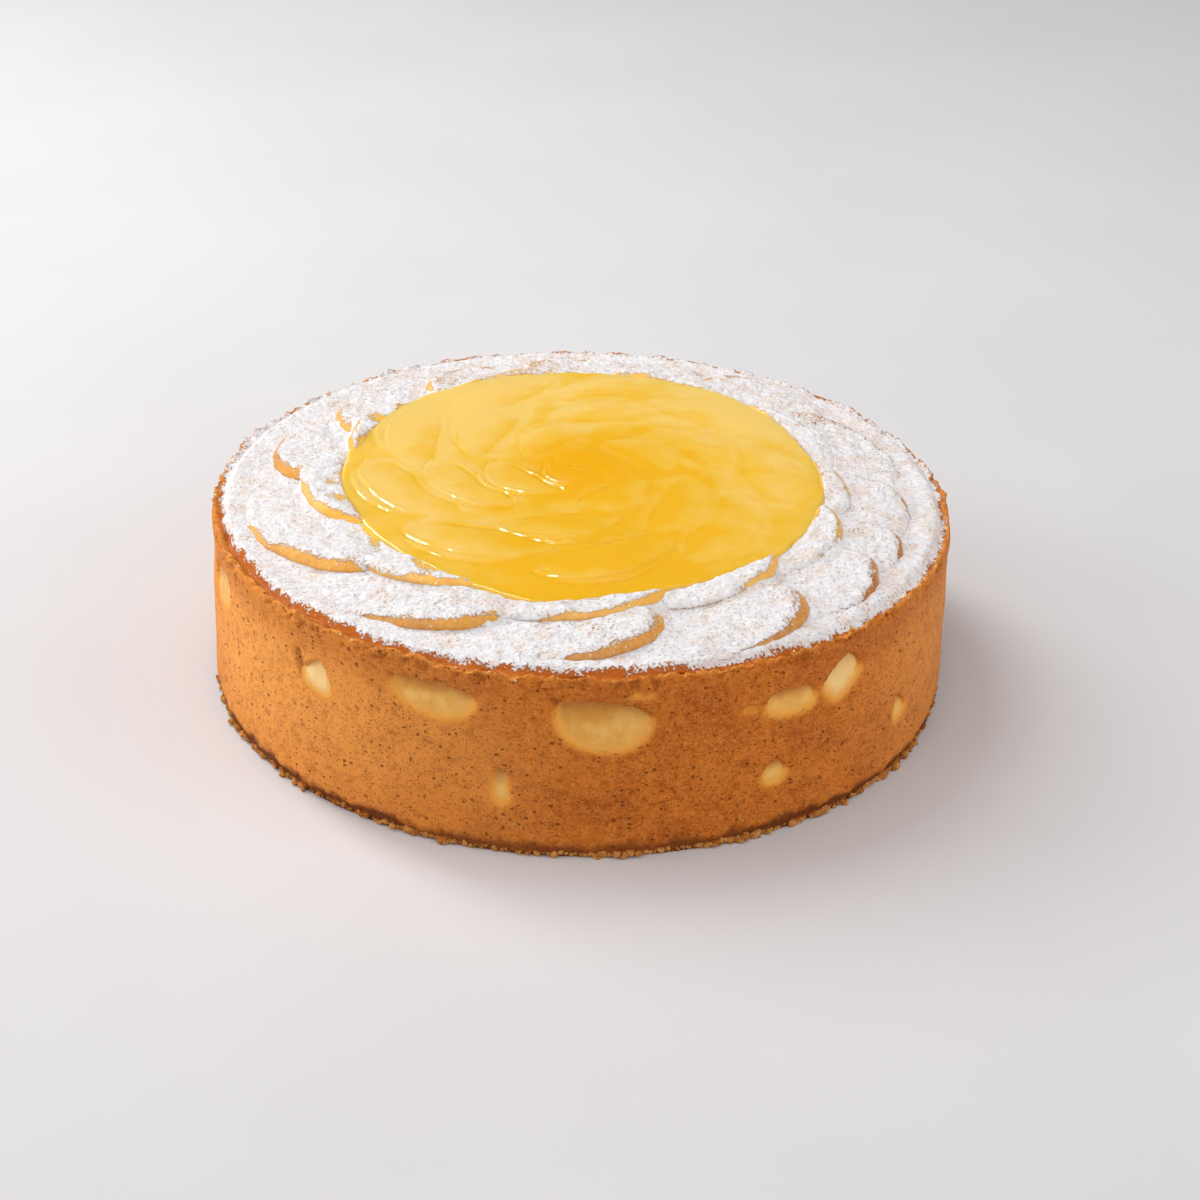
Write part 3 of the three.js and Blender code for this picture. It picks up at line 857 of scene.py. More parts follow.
def opening(distance, soft):
    """How open the wall is over its pear: crisp above it, fading out below."""
    opened = 1 - smooth(0, 1, (distance - lerp(*WINDOW_START, soft)) / lerp(*WINDOW_WIDTH, soft))
    return opened * lerp(*WINDOW_SHARE, soft)


def open_windows(turns, heights):
    """How far each point of the wall lies behind its face round the pear, and how pale it is."""
    depth = np.zeros(turns.shape)
    pale = np.zeros(turns.shape)
    for node in SIDE_NODES:
        bearing, outline = window_of(node)
        along = along_wall(turns, bearing)
        low = outline.min(axis=0) - WINDOW_REACH
        high = outline.max(axis=0) + WINDOW_REACH
        near = (along > low[0]) & (along < high[0]) & (heights > low[1]) & (heights < high[1])
        points = np.stack([along[near], heights[near]], axis=1)
        distance, down = outline_distance(outline, points)
        soft = softness(down)
        opened = opening(distance, soft)
        tint = (1 - smooth(0, 1, (distance + 0.6) / lerp(*PALE_WIDTH, soft))) * lerp(*PALE_SHARE, soft)
        depth[near] = np.maximum(depth[near], opened)
        pale[near] = np.maximum(pale[near], tint)
    return depth, pale


def slot_depth(slots, turns, heights):
    """Depth in millimetres of narrow slots in the wall, at each point of it."""
    depth = np.zeros(turns.shape)
    for start, end, half, deep in slots:
        along = along_wall(turns, math.radians(start[0]))
        above = heights - start[1]
        run = (math.radians(end[0] - start[0]) * RIM_RADIUS, end[1] - start[1])
        share = np.clip((along * run[0] + above * run[1]) / (run[0] ** 2 + run[1] ** 2), 0, 1)
        away = np.hypot(along - share * run[0], above - share * run[1])
        depth = np.maximum(depth, deep * smooth(half * 1.7, half * 0.3, away))
    return depth


def bubble_pits(draw, count, turns, heights):
    """Depth of scattered open bubbles, 0 to 1, over the rows of the wall."""
    depth = np.zeros(turns.shape)
    sides = turns.shape[1]
    step = FULL_TURN / sides
    for _ in range(count):
        bearing = draw.uniform(0, FULL_TURN)
        height = draw.uniform(*PIT_BAND)
        radius = SMALLEST_PIT + draw.gamma(1.4, 0.2)
        stretch = draw.uniform(1, 1.9)
        slant = draw.normal(0, 0.35)
        strength = draw.uniform(0.35, 1)
        reach = int(PIT_REACH * radius * stretch / (RIM_RADIUS * step)) + 1
        columns = (round(bearing / step) + np.arange(-reach, reach + 1)) % sides
        lines = np.nonzero(np.abs(heights[:, 0] - height) < PIT_REACH * radius)[0]
        if len(lines) == 0:
            continue
        patch = np.ix_(lines, columns)
        along = along_wall(turns[patch], bearing)
        above = heights[patch] - height - slant * along
        far = (along / (radius * stretch)) ** 2 + (above / radius) ** 2
        depth[patch] = np.maximum(depth[patch], strength * np.exp(-far * 1.4))
    return depth


class CrustGrid:
    """Rows of points round the plain crust, with bearings, radii and heights, and noise over them."""

    def __init__(self):
        rows = [row for run in CRUST_RUNS for row in resampled(*run)]
        profile = np.array(rows + [(CORE_RADIUS, BED_HEIGHT)])
        self.turns = np.tile(np.arange(CRUST_SEGMENTS) / CRUST_SEGMENTS * FULL_TURN, (len(profile), 1))
        self.radii = np.repeat(profile[:, :1], CRUST_SEGMENTS, axis=1)
        self.heights = np.repeat(profile[:, 1:], CRUST_SEGMENTS, axis=1)
        self.points = round_tart(self.radii, self.turns, self.heights)
        self.wall = (self.radii > WALL_INSIDE).astype(float)

    def grain(self, size, seed):
        """Noise at every point of the grid."""
        return noise(self.points.reshape(-1, 3), size, seed).reshape(self.turns.shape)


def crust_openings(grid, look):
    """How deep the wall opens, in millimetres, with its layers of open bubbles and of paleness."""
    wall, turns, heights = grid.wall, grid.turns, grid.heights
    pits = bubble_pits(np.random.default_rng(PIT_SEED), look.pits, turns, heights)
    pits *= wall * (1 - smooth(*PIT_FADE, heights))
    opened, pale = open_windows(turns, heights)
    opened *= wall
    patches = slot_depth(PALE_PATCHES, turns, heights) * wall * smooth(-0.5, 0.5, grid.grain(3.5, 60))
    slots = slot_depth(WALL_SLOTS, turns, heights) * wall
    under_lip = smooth(*UNDERCUT_START, heights) * smooth(*UNDERCUT_END, heights) * wall
    slots += 0.9 * under_lip * smooth(0.16, 0.42, grid.grain(2.6, 54) + 0.5 * grid.grain(9, 55))
    pale = np.maximum(pale, 1.3 * patches)
    pits *= 1 - smooth(0.0, 0.4, np.maximum(opened, pale * 0.8))
    depth = pits * look.pit_depth / MM + opened * look.window_depth / MM + slots + patches
    return depth, {"pale": pale * wall, "pit": np.maximum(pits, smooth(0.2, 1.4, slots))}


def crust_foot(grid):
    """How dark the wall is at its foot, 0 to 1, and the clods of crumb that cling there."""
    heights = grid.heights
    clods = np.maximum(0, grid.grain(3.2, 6) + 0.6 * grid.grain(1.5, 19)) * smooth(*CLOD_BAND, heights)
    foot = smooth(*FOOT_BAND, heights + 1.8 * grid.grain(7, 3) + 0.9 * grid.grain(2, 4)) * grid.wall
    foot *= 1 - 0.85 * smooth(0.05, 0.35, clods)
    foot *= 1 - 0.22 * smooth(0.88, 1, -np.sin(grid.turns))
    return foot, clods


def crust_lip(grid):
    """Thin edge of the lip, 0 to 1, how far it juts out and how high its torn crest stands."""
    crest = np.exp(-((grid.radii - CREST_RADIUS) ** 2) - ((grid.heights - LIP_HEIGHT) / 0.9) ** 2)
    jut = crest * (grid.grain(3.4, 7) + grid.grain(1.6, 20))
    crest *= lerp(1, 0.6, smooth(0, 0.6, np.sin(grid.turns)))
    rise = smooth(*LIP_BAND, grid.heights) * grid.wall * LIP_CRAG
    rise *= waver(3 * grid.turns + 1, 5 * grid.radii)
    torn = np.maximum(0, grid.grain(3.4, 9) - 0.12)
    ragged = 0.5 - 2 * np.abs(grid.grain(2.6, 16))
    rise += crest * (0.2 + 0.9 * grid.grain(4.4, 8) + 0.9 * ragged - 2.2 * torn)
    return crest, jut, rise


def crust_sugar(grid):
    """Sugar on the shoulder, 0 to 1, and how high it is heaped, most against the slices."""
    radii, turns = grid.radii, grid.turns
    spread = np.maximum(3.7 * smooth(-0.5, 0.4, np.sin(turns)), 2.6 * smooth(0.2, 0.9, np.cos(turns)))
    edge = radii - spread + grid.grain(7, 10) + 0.9 * grid.grain(2.2, 11)
    sugar = smooth(*SUGAR_RADII, edge) * smooth(*SUGAR_BAND, grid.heights)
    top = (radii > HEAP_INSIDE) & (radii < HEAP_RADII[0]) & (grid.heights > BED_HEIGHT)
    against = np.zeros(turns.shape)
    against[top] = closeness(grid.points[top], slice_tree(ring_slices(OUTER_RING)), POWDER_REACH)
    lumps = powder_lumps(grid.points.reshape(-1, 3)).reshape(turns.shape)
    heap = sugar * (0.4 + 0.6 * lumps + 0.6 * against)
    return np.maximum(sugar, smooth(0.2, 0.7, against) * smooth(*HEAP_RADII, edge)), heap


def crust_fairness_and_light(grid):
    """How little the wall has browned, with painted light, 0 to 1: lightest on the lit left, then on the
    right, with painted shade at the far left edge.
    """
    across, heights = grid.points[..., 0], grid.heights
    fair = smooth(*FAIR_LIT_LEFT, across + 18 * grid.grain(30, 17)) * 0.9
    fair = np.maximum(fair, 0.5 * smooth(*FAIR_LIT_RIGHT, across))
    fair *= lerp(0.6, 1, smooth(*FAIR_ABOVE, heights)) - 0.55 * smooth(*DARK_UNDER_LIP, heights)
    return fair * (1 - 0.3 * smooth(*SHADED_FAR_LEFT, across))


class TART_OT_crust(bpy.types.Operator):
    """Makes the browned crust: porous wall, dark foot, ragged lip, shoulder and shelf"""

    bl_idname = "tart.crust"
    bl_label = "Crust"

    def execute(self, context):
        look = context.scene.tart_crust
        grid = CrustGrid()
        depth, layers = crust_openings(grid, look)
        foot, clods = crust_foot(grid)
        crest, jut, rise = crust_lip(grid)
        sugar, heap = crust_sugar(grid)
        out = grid.wall * (wall_lumps(grid.turns, grid.heights) + 1.5 * clods - 0.6 * foot) + jut - depth
        # The flat underside stays as it is
        raised = grid.heights >= 0.01
        radii = grid.radii + np.where(raised, out, 0)
        heights = grid.heights + np.where(raised, rise + heap, 0)
        ring = round_tart(radii, grid.turns, heights).reshape(-1, 3)
        points = np.concatenate([[(0, 0, 0)], ring, [(0, 0, BED_HEIGHT)]])
        mesh = mesh_of("crust", points, grid_faces(len(radii), CRUST_SEGMENTS))
        toffee = smooth(*TOFFEE_RADII, grid.radii + 0.4 * grid.grain(3, 14)) * raised
        layers.update(foot=foot, toffee=toffee, sugar=sugar, fair=crust_fairness_and_light(grid))
        # Crest layer places the lighter edge of the lip, partly a painted highlight
        layers["crest"] = smooth(0.4, 0.9, crest) * lerp(0.3, 0.85, smooth(-0.3, 0.3, grid.grain(6, 53)))
        layers["grain"] = np.maximum(0.5 * crest, 0.15 * toffee * (heights > GRAIN_LEVEL))
        layers["grain"] *= radii > GRAIN_INSIDE
        heaps = smooth(-0.2, 0.6, grid.grain(15, 51)) + 0.9 * smooth(0.2, 0.6, grid.grain(5, 52)) + 0.2
        layers["crumb"] = smooth(*CRUMB_BAND, heights) * grid.wall * raised * heaps
        add_layers(mesh, **{name: np.concatenate([[0], v.ravel(), [0]]) for name, v in layers.items()})
        show("crust", mesh, crust_finish(look, context.scene.tart_sugar), "crust", "tart_body")
        return {"FINISHED"}


def side_pear(name, node, window):
    """Mesh of a piece of pear in the wall: set back in its window, and flush at the soft lower edge."""
    bearing, outline = window_of(node)
    rows = SIDE_FACE + SIDE_BODY
    centre = outline.mean(axis=0)
    reach = outline - centre
    widened = reach * (1 + SIDE_MARGIN / np.linalg.norm(reach, axis=1))[:, None]
    flat = np.concatenate([centre[None], *(centre + widened * share for share, _ in rows), centre[None]])
    depths = [np.full(len(outline), depth) for _, depth in rows]
    low, high = outline[:, 1].min(), outline[:, 1].max()
    behind = np.concatenate([[SIDE_RECESS], *depths, [SIDE_BODY[-1][1]]])
    behind += SIDE_LEAN * smooth(low, high, flat[:, 1])
    distance, down = outline_distance(outline, flat)
    soft = softness(down)
    dive = lerp(-0.06, 0.12, smooth(-0.6, 1.1, distance))
    flush = np.minimum(behind, opening(distance, soft) * window + dive)
    behind = np.where(behind < 2, lerp(behind, flush, soft), behind)
    turn = bearing + flat[:, 0] / RIM_RADIUS
    radius = wall_radius(flat[:, 1]) + wall_lumps(turn, flat[:, 1]) - behind
    points = round_tart(radius, turn, flat[:, 1])
    lift = (0.25 * noise(points, 5, 21) + 0.12 * noise(points, 1.8, 22)) * smooth(3.4, 2, behind)
    points += round_tart(1, turn, 0 * turn) * lift[:, None]
    mesh = mesh_of(name, points, grid_faces(len(rows), len(outline)))
    width = np.minimum(lerp(*RIND_WIDTH, soft), 0.35 * np.ptp(outline, axis=0).min())
    blanched = BLANCHED.get(node, 0)
    # Painted shade: darker toward the top of the piece, under the wall's overhang
    shade = smooth(0.4, 0.95, (flat[:, 1] - low) / (high - low) + 0.1 * noise(points, 4, 23))
    add_layers(
        mesh,
        blanched=np.full(len(points), blanched),
        shade=0.85 * (1 - blanched) * shade,
        rind=smooth(0, 1, (distance + width) / (width + 0.9)),
    )
    return mesh


class TART_OT_side_pears(bpy.types.Operator):
    """Makes the pieces of pear that the wall cuts across, set into its windows"""

    bl_idname = "tart.side_pears"
    bl_label = "Pear in the wall"

    def execute(self, context):
        finish = pear_finish(context.scene.tart_pear)
        window = context.scene.tart_crust.window_depth / MM
        for number, node in enumerate(SIDE_NODES, 1):
            mesh = side_pear(f"side_pear_{number:02d}", node, window)
            show(mesh.name, mesh, finish, "baked_pear", node)
        return {"FINISHED"}


# Slices: rounded pieces about an outline, bent round the tart and seated by their bearing


def slice_outline(size, count):
    """Outline of a slice, between an ellipse and a box, with points evenly spaced along it."""
    angle = np.linspace(0, FULL_TURN, OUTLINE_SAMPLES)
    power = 2 / SLICE_SQUARENESS
    x = size["width"] / 2 * np.sign(np.cos(angle)) * np.abs(np.cos(angle)) ** power
    y = size["length"] / 2 * np.sign(np.sin(angle)) * np.abs(np.sin(angle)) ** power
    run = np.concatenate([[0], np.cumsum(np.hypot(np.diff(x), np.diff(y)))])
    at = np.linspace(0, run[-1], count, endpoint=False)
    return np.stack([np.interp(at, run, x), np.interp(at, run, y)], axis=1)


def slice_rings(count, spacing):
    """Share of the outline and level of each ring, from the middle of the top to the underside."""
    middle, edge = np.array([(0, 1), SLICE_EDGE[0]], float)
    top = [lerp(middle, edge, 1 - (1 - share) ** 1.3) for share in np.linspace(0.04, 0.96, count)]
    return np.array(top + resampled(SLICE_EDGE, spacing) + list(SLICE_UNDERSIDE))


def placed(points, matrix):
    """Points moved by a matrix."""
    return points @ np.array(matrix.to_3x3()).T + np.array(matrix.translation)


def slice_points(size, rings, sides, matrix):
    """Points of one slice: long way along Y with its raised end at +Y, bent, then seated."""
    outline = slice_outline(size, sides)
    layers = [np.concatenate([outline * s, np.full((sides, 1), level)], axis=1) for s, level in rings]
    points = np.concatenate([[(0, 0, 1)], *layers, [(0, 0, -1)]])
    end = smooth(0.1, 0.95, points[:, 1] / (size["length"] / 2))
    rise = size.get("rise", 0) * end * np.clip(points[:, 2], 0, 1)
    points[:, 2] = points[:, 2] * size["thickness"] / 2 + rise
    points[:, 0] -= points[:, 1] ** 2 / (2 * SLICE_BEND * size["radius"])
    points = placed(points, matrix)
    points[:, 0] += SLICE_STRAY * noise(points, 13, 38)
    points[:, 1] += SLICE_STRAY * noise(points, 13, 39)
    # A slice of a ring dips under the glaze at its edge, and a petal lies in it as it is
    if "rise" in size:
        sunk = smooth(*DIP_BAND, pool_gap(points[:, 0], points[:, 1]))
        points[:, 2] = lerp(points[:, 2], np.minimum(points[:, 2], POOL_LEVEL - DIP_DEPTH), sunk)
    return points


def slice_along(size, rings, sides):
    """How far each point of a slice is from its sunk end, -1, to its raised end, 1."""
    outline = slice_outline(size, sides)
    shares = np.concatenate([outline[:, 1] * share for share, _ in rings])
    return np.concatenate([[0], shares, [0]]) / (size["length"] / 2)


def seat(bearing, place, lift, dip, swing, centre=(0, 0)):
    """Where a slice lies: turned about the centre, out at its place and tipped."""
    tip = Matrix.Rotation(math.radians(swing), 4, "Z")
    tip = tip @ Matrix.Rotation(math.radians(-dip), 4, "Y") @ Matrix.Rotation(math.radians(lift), 4, "X")
    turn = Matrix.Translation((*centre, 0)) @ Matrix.Rotation(bearing, 4, "Z")
    return turn @ Matrix.Translation(place) @ tip


def ring_slices(ring):
    """Size and seat of each slice of a ring, from under its neighbour to its own raised end."""
    stops = ring["slices"]
    for index, (stop, reach) in enumerate(stops):
        before = stops[index - 1][0] - (360 if index == 0 else 0)
        radius = reach - ring["width"] / 2
        length = math.radians(stop - before) * radius + ring["overlap"]
        bearing = math.radians(stop) - length / 2 / radius
        size = {"length": length, "radius": radius, "rise": SLICE_RISE}
        size.update(width=ring["width"], thickness=ring["thickness"])
        yield size, seat(bearing, (radius, 0, ring["height"]), ring["lift"], ring["dip"], ring["swing"])


# Rings of a finished slice, and the plainer ones that are measured from
SLICE_RINGS = slice_rings(26, 0.09)
SLICE_TREE_RINGS = slice_rings(10, 0.12)
SLICE_TREE_SIDES = 72
SLICE_TREE_FACES = (len(SLICE_TREE_RINGS) + 1) * SLICE_TREE_SIDES


def slice_tree(slices):
    """Plain shapes of some slices, to cast rays at or to measure from."""
    rings, sides = SLICE_TREE_RINGS, SLICE_TREE_SIDES
    faces = grid_faces(len(rings), sides, flip=True)
    points, all_faces = [], []
    for order, (size, matrix) in enumerate(slices):
        points.append(slice_points(size, rings, sides, matrix))
        start = order * len(points[0])
        all_faces += [[i + start for i in face] for face in faces]
    return BVHTree.FromPolygons(np.concatenate(points).tolist(), all_faces)


def closeness(points, tree, reach):
    """How close points lie to what is in a tree: 1 where they touch it, 0 from reach on."""
    gaps = np.full(len(points), float(reach))
    for index, point in enumerate(points.tolist()):
        gap = tree.find_nearest(point, reach)[3]
        if gap is not None:
            gaps[index] = gap
    return smooth(reach, 0, gaps)


def slice_sugar(points, facing, shares, along, against):
    """Sugar on a slice, 0 to 1: none on its steep raised end, and heaped where others lie on it."""
    bare = smooth(-0.5, 0.2, along + 0.5 * noise(points, 14, 36))
    tilt = facing[:, 2] + 0.05 * noise(points, 9, 31) + 0.05 * noise(points, 2.6, 32)
    sugar = smooth(lerp(0.0, 0.83, bare), lerp(0.3, 0.99, bare), tilt)
    verge = smooth(1.0, 0.84, shares + 0.05 * noise(points, 3.4, 33))
    sugar *= lerp(1, lerp(0.35, 1, verge), bare)
    return np.maximum(sugar, smooth(0.15, 0.7, against))


def bare_patches(points, shares):
    """Where sugar has come off the slices at the back, near their edges."""
    patch = smooth(0.15, 0.45, noise(points, 8, 47)) * smooth(0.55, 0.9, shares)
    return 0.75 * patch * smooth(*BARE_BACK, points[:, 1])


def slice_moisture(points):
    """Where glaze wets a slice, 0 to 1: below its level at the edge of the pool, and splashed on the left."""
    gap = pool_gap(points[:, 0], points[:, 1])
    wet = points[:, 2] - POOL_LEVEL + POOL_DROP * smooth(0, POOL_FILM, gap) + 0.25 * noise(points, 5, 40)
    splash = smooth(0.05, 0.35, noise(points, 9, 48)) * smooth(*SPLASH_BAND, gap)
    splash *= smooth(*SPLASH_LEFT, points[:, 0])
    return np.maximum(smooth(*WET_BAND, wet) * (gap < POOL_RIM), 0.9 * splash)


def shelf_height(reach):
    """Height of the bed, shelf or shoulder under the slices at a radius."""
    radii = (BED_RADIUS, BED_BRIM, SHELF_RADIUS, SHOULDER_INSIDE)
    return np.interp(reach, radii, (BED_HEIGHT, SHELF_HEIGHT, SHELF_HEIGHT, SHOULDER_HEIGHT))


def sugared_slice(name, ring, seated, over, powder, toast):
    """Mesh of one slice with its sugar, moisture, browning and painted shade on its flanks, under what lies
    over it.
    """
    size, matrix = seated
    points = slice_points(size, SLICE_RINGS, SLICE_SIDES, matrix)
    mesh = mesh_of(name, points, grid_faces(len(SLICE_RINGS), SLICE_SIDES, flip=True))
    facing = normals_of(mesh)
    floor = shelf_height(np.hypot(points[:, 0], points[:, 1])) - SLICE_SINK
    along = slice_along(size, SLICE_RINGS, SLICE_SIDES)
    shares = np.concatenate([[0], np.repeat(SLICE_RINGS[:, 0], SLICE_SIDES), [0]])
    upper = facing[:, 2] > 0.3
    against = np.zeros(len(points))
    against[upper] = closeness(points[upper], over, POWDER_REACH)
    moist = slice_moisture(points) * ring["wets"]
    sugar = slice_sugar(points, facing, shares, along, against)
    sugar *= (1 - moist) * (1 - bare_patches(points, shares))
    swell = 0.6 * noise(points, 12, 37) * upper + 0.12 * noise(points, 4, 35) * (1 - sugar)
    swell += sugar * powder * (1 + 2 * powder_lumps(points) * upper)
    points = points + facing * swell[:, None]
    points[:, 2] += POWDER_HEAP * against
    points[:, 2] = np.where(facing[:, 2] < -0.5, floor, np.maximum(points[:, 2], floor))
    move_points(mesh, points)
    # Outer slices are darker toward the right and lighter on the left
    browned = toast + ring["baked"] * (0.45 * smooth(*BAKED_RIGHT, points[:, 0]) - 0.3)
    # Painted shade: slices get browner where they face sideways and down, on their flanks
    browned += 0.35 * smooth(0.6, -0.1, facing[:, 2])
    add_layers(
        mesh,
        moist=moist,
        sugar=sugar,
        tip=ring["ripe"] * smooth(0.3, 0.95, along + 0.3 * noise(points, 9, 46)),
        toast=np.clip(browned, 0, 1),
        grain=smooth(0.05, 0.4, facing[:, 2]) * (1 - sugar) * (facing[:, 2] > 0.1),
    )
    return mesh


class TART_OT_slices(bpy.types.Operator):
    """Makes both rings of sugared pear slices"""

    bl_idname = "tart.slices"
    bl_label = "Sugared slices"

    def execute(self, context):
        look = context.scene.tart_slices
        finish = slice_finish(look, context.scene.tart_sugar)
        draw = np.random.default_rng(SLICE_SEED)
        for ring, upper_ring in ((OUTER_RING, list(ring_slices(INNER_RING))), (INNER_RING, [])):
            slices = list(ring_slices(ring))
            for index, seated in enumerate(slices):
                number = f"{index + 1:02d}"
                over = slice_tree([slices[index - 1], *upper_ring])
                toast = draw.uniform(*ring["toast"])
                name = f"{ring['piece']}_{number}"
                mesh = sugared_slice(name, ring, seated, over, look.powder / MM, toast)
                show(mesh.name, mesh, finish, "sugared_pear", f"{ring['node']}_{number}")
        return {"FINISHED"}


# Fields of heights over a square grid, from which drifts and glaze get their tops


def blurred(field, sigma):
    """Field of heights, smoothed by a bell of that width in cells."""
    reach = int(3 * sigma) + 1
    bell = np.exp(-0.5 * (np.arange(-reach, reach + 1) / sigma) ** 2)
    bell /= bell.sum()
    for axis in (0, 1):
        padded = np.pad(field, [(reach, reach) if a == axis else (0, 0) for a in (0, 1)], mode="edge")
        field = np.apply_along_axis(lambda line: np.convolve(line, bell, "valid"), axis, padded)
    return field


def height_field(tree, half, cell, floor):
    """Places of a square grid, heights of what is in a tree over it, at least the floor, and faces hit."""
    ceiling = 90
    line = np.arange(-half, half + cell, cell)
    field = floor(*np.meshgrid(line, line))
    faces = np.full(field.shape, -1)
    for row, y in enumerate(line):
        for column, x in enumerate(line):
            if x * x + y * y < half * half:
                hit, _, face, _ = tree.ray_cast(Vector((x, y, ceiling)), Vector((0, 0, -1)))
                if hit is not None and hit.z > field[row, column]:
                    field[row, column] = hit.z
                    faces[row, column] = face
    return line, field, faces


def field_at(line, field, x, y):
    """Field between its grid points."""
    cell = line[1] - line[0]
    across = (x - line[0]) / cell
    along = (y - line[0]) / cell
    i, j = across.astype(int), along.astype(int)
    u, v = across - i, along - j
    return lerp(lerp(field[j, i], field[j, i + 1], u), lerp(field[j + 1, i], field[j + 1, i + 1], u), v)


def reached(field, cells, pick):
    """Highest or lowest value within some cells of each cell of a field."""
    for axis in (0, 1):
        field = pick.reduce([np.roll(field, step, axis) for step in range(-cells, cells + 1)])
    return field


def drift_floor(x, y):
    """Height of what drifted sugar lies on: the glaze near its edge, the shelf and shoulder outside it."""
    gap = pool_gap(x, y)
    shelf = np.interp(np.hypot(x, y), *zip(*DRIFT_SHELF))
    return np.where(gap < 1, np.interp(gap, *zip(*DRIFT_POOL)), shelf)


def hoop_faces(rows, sides):
    """Faces of rows of points round the tart, the last row joined to the first."""
    first = np.arange(rows)[:, None] * sides
    following = (first + sides) % (rows * sides)
    side = np.arange(sides)
    after = (side + 1) % sides
    quads = np.stack([first + side, following + side, following + after, first + after], -1)
    return quads.reshape(-1, 4).tolist()


class TART_OT_drifts(bpy.types.Operator):
    """Fills the narrow gaps between slices with drifted sugar"""

    bl_idname = "tart.drifts"
    bl_label = "Sugar drifts"

    def execute(self, context):
        tree = slice_tree([*ring_slices(OUTER_RING), *ring_slices(INNER_RING)])
        line, field, _ = height_field(tree, RIM_RADIUS, DRIFT_CELL, drift_floor)
        closed = reached(reached(field, DRIFT_CLOSES, np.maximum), DRIFT_CLOSES, np.minimum)
        closed = blurred(closed, 1) - DRIFT_DROP
        turn = np.arange(DRIFT_SIDES) / DRIFT_SIDES * FULL_TURN
        edge = pool_edge(turn) + DRIFT_INSIDE
        radius = np.linspace(edge, np.full(DRIFT_SIDES, DRIFT_OUTSIDE), DRIFT_ROWS)
        top = round_tart(radius, turn, 0 * radius)
        top[..., 2] = field_at(line, closed, top[..., 0], top[..., 1])
        top[..., 2] += DRIFT_LUMPS * powder_lumps(top.reshape(-1, 3)).reshape(radius.shape)
        top[..., 2] = np.maximum(top[..., 2], SHELF_HEIGHT - 0.1)
        under = top[[-1, 0]]
        under[..., 2] = SHELF_HEIGHT - 0.6
        points = np.concatenate([top, under]).reshape(-1, 3)
        mesh = mesh_of("sugar_drifts", points, hoop_faces(DRIFT_ROWS + 2, DRIFT_SIDES))
        moist = smooth(0.4, -1.4, pool_gap(points[:, 0], points[:, 1]) + 1.2 * noise(points, 6, 40))
        add_layers(mesh, sugar=1 - moist, moist=moist)
        finish = slice_finish(context.scene.tart_slices, context.scene.tart_sugar)
        show("sugar_drifts", mesh, finish, "sugared_pear")
        return {"FINISHED"}


def petals():
    """Size and seat of every petal of the rosette, each with a second, lower one just outside it."""
    for ring in PETAL_RINGS:
        for index in range(ring["count"]):
            bearing = math.radians(ring["first"] + 360 * index / ring["count"])
            for outward, drop, grow in PETAL_LAYERS:
                size = {**ring, "thickness": PETALS["thickness"], "width": ring["width"] + grow}
                place = (ring["radius"] + outward, 0, PETALS["top"] - PETALS["thickness"] / 2 - drop)
                tipped = seat(bearing, place, PETALS["lift"], PETALS["dip"], PETALS["swing"], ROSETTE_CENTRE)
                yield size, Matrix.Diagonal((1, POOL_STRETCH, 1, 1)) @ tipped


def edge_gap(owners, down, along, reach):
    """Cells from each cell to where its petal ends, going by down and along the grid, at most reach."""
    rows, columns = np.indices(owners.shape)
    gap = np.full(owners.shape, float(reach))
    for step in np.arange(reach, 0, -0.5):
        row = np.clip(np.rint(rows + step * down), 0, len(owners) - 1).astype(int)
        column = np.clip(np.rint(columns + step * along), 0, len(owners) - 1).astype(int)
        gap = np.where(owners[row, column] != owners, step, gap)
    return gap


def petal_edges(line, hits, roundness):
    """Fields of the thin edge in which each petal ends outward, over its neighbour, and of its crescent."""
    cell = GLAZE_CELL
    owners = np.where(hits < 0, -1, hits // SLICE_TREE_FACES)
    off_x, off_y = line[None, :] - EYE[0], line[:, None] - EYE[1]
    far = np.maximum(np.hypot(off_x, off_y), cell)
    down, along = off_y / far, off_x / far
    reach = EDGE_REACH / cell
    inside = smooth(reach, 0, edge_gap(owners, down, along, reach))
    outside = smooth(reach, 0, edge_gap(owners, -down, -along, reach))
    toward = (off_x * math.cos(GLINT_BEARING) + off_y * math.sin(GLINT_BEARING)) / far
    edge = (inside - outside) / 2 * lerp(0.06, 1, smooth(-0.2, 0.6, toward))
    crescent = 1 - edge_gap(owners, down, along, CRESCENT / cell) * cell / CRESCENT
    return blurred(edge, roundness / cell), blurred(crescent - 0.7 * outside, 0.9 / cell)


def painted_glaze_sheen(x, y):
    """How much painted sheen lightens the glaze at its sides and back, compared with the middle and the
    front.
    """
    paler = 0.48 * smooth(10, -60, x) + 0.4 * smooth(20, 70, x) - 0.16 * smooth(40, 10, np.abs(x - 5))
    return paler + 0.56 * smooth(10, 60, y) - 0.1 * smooth(-15, -55, y)


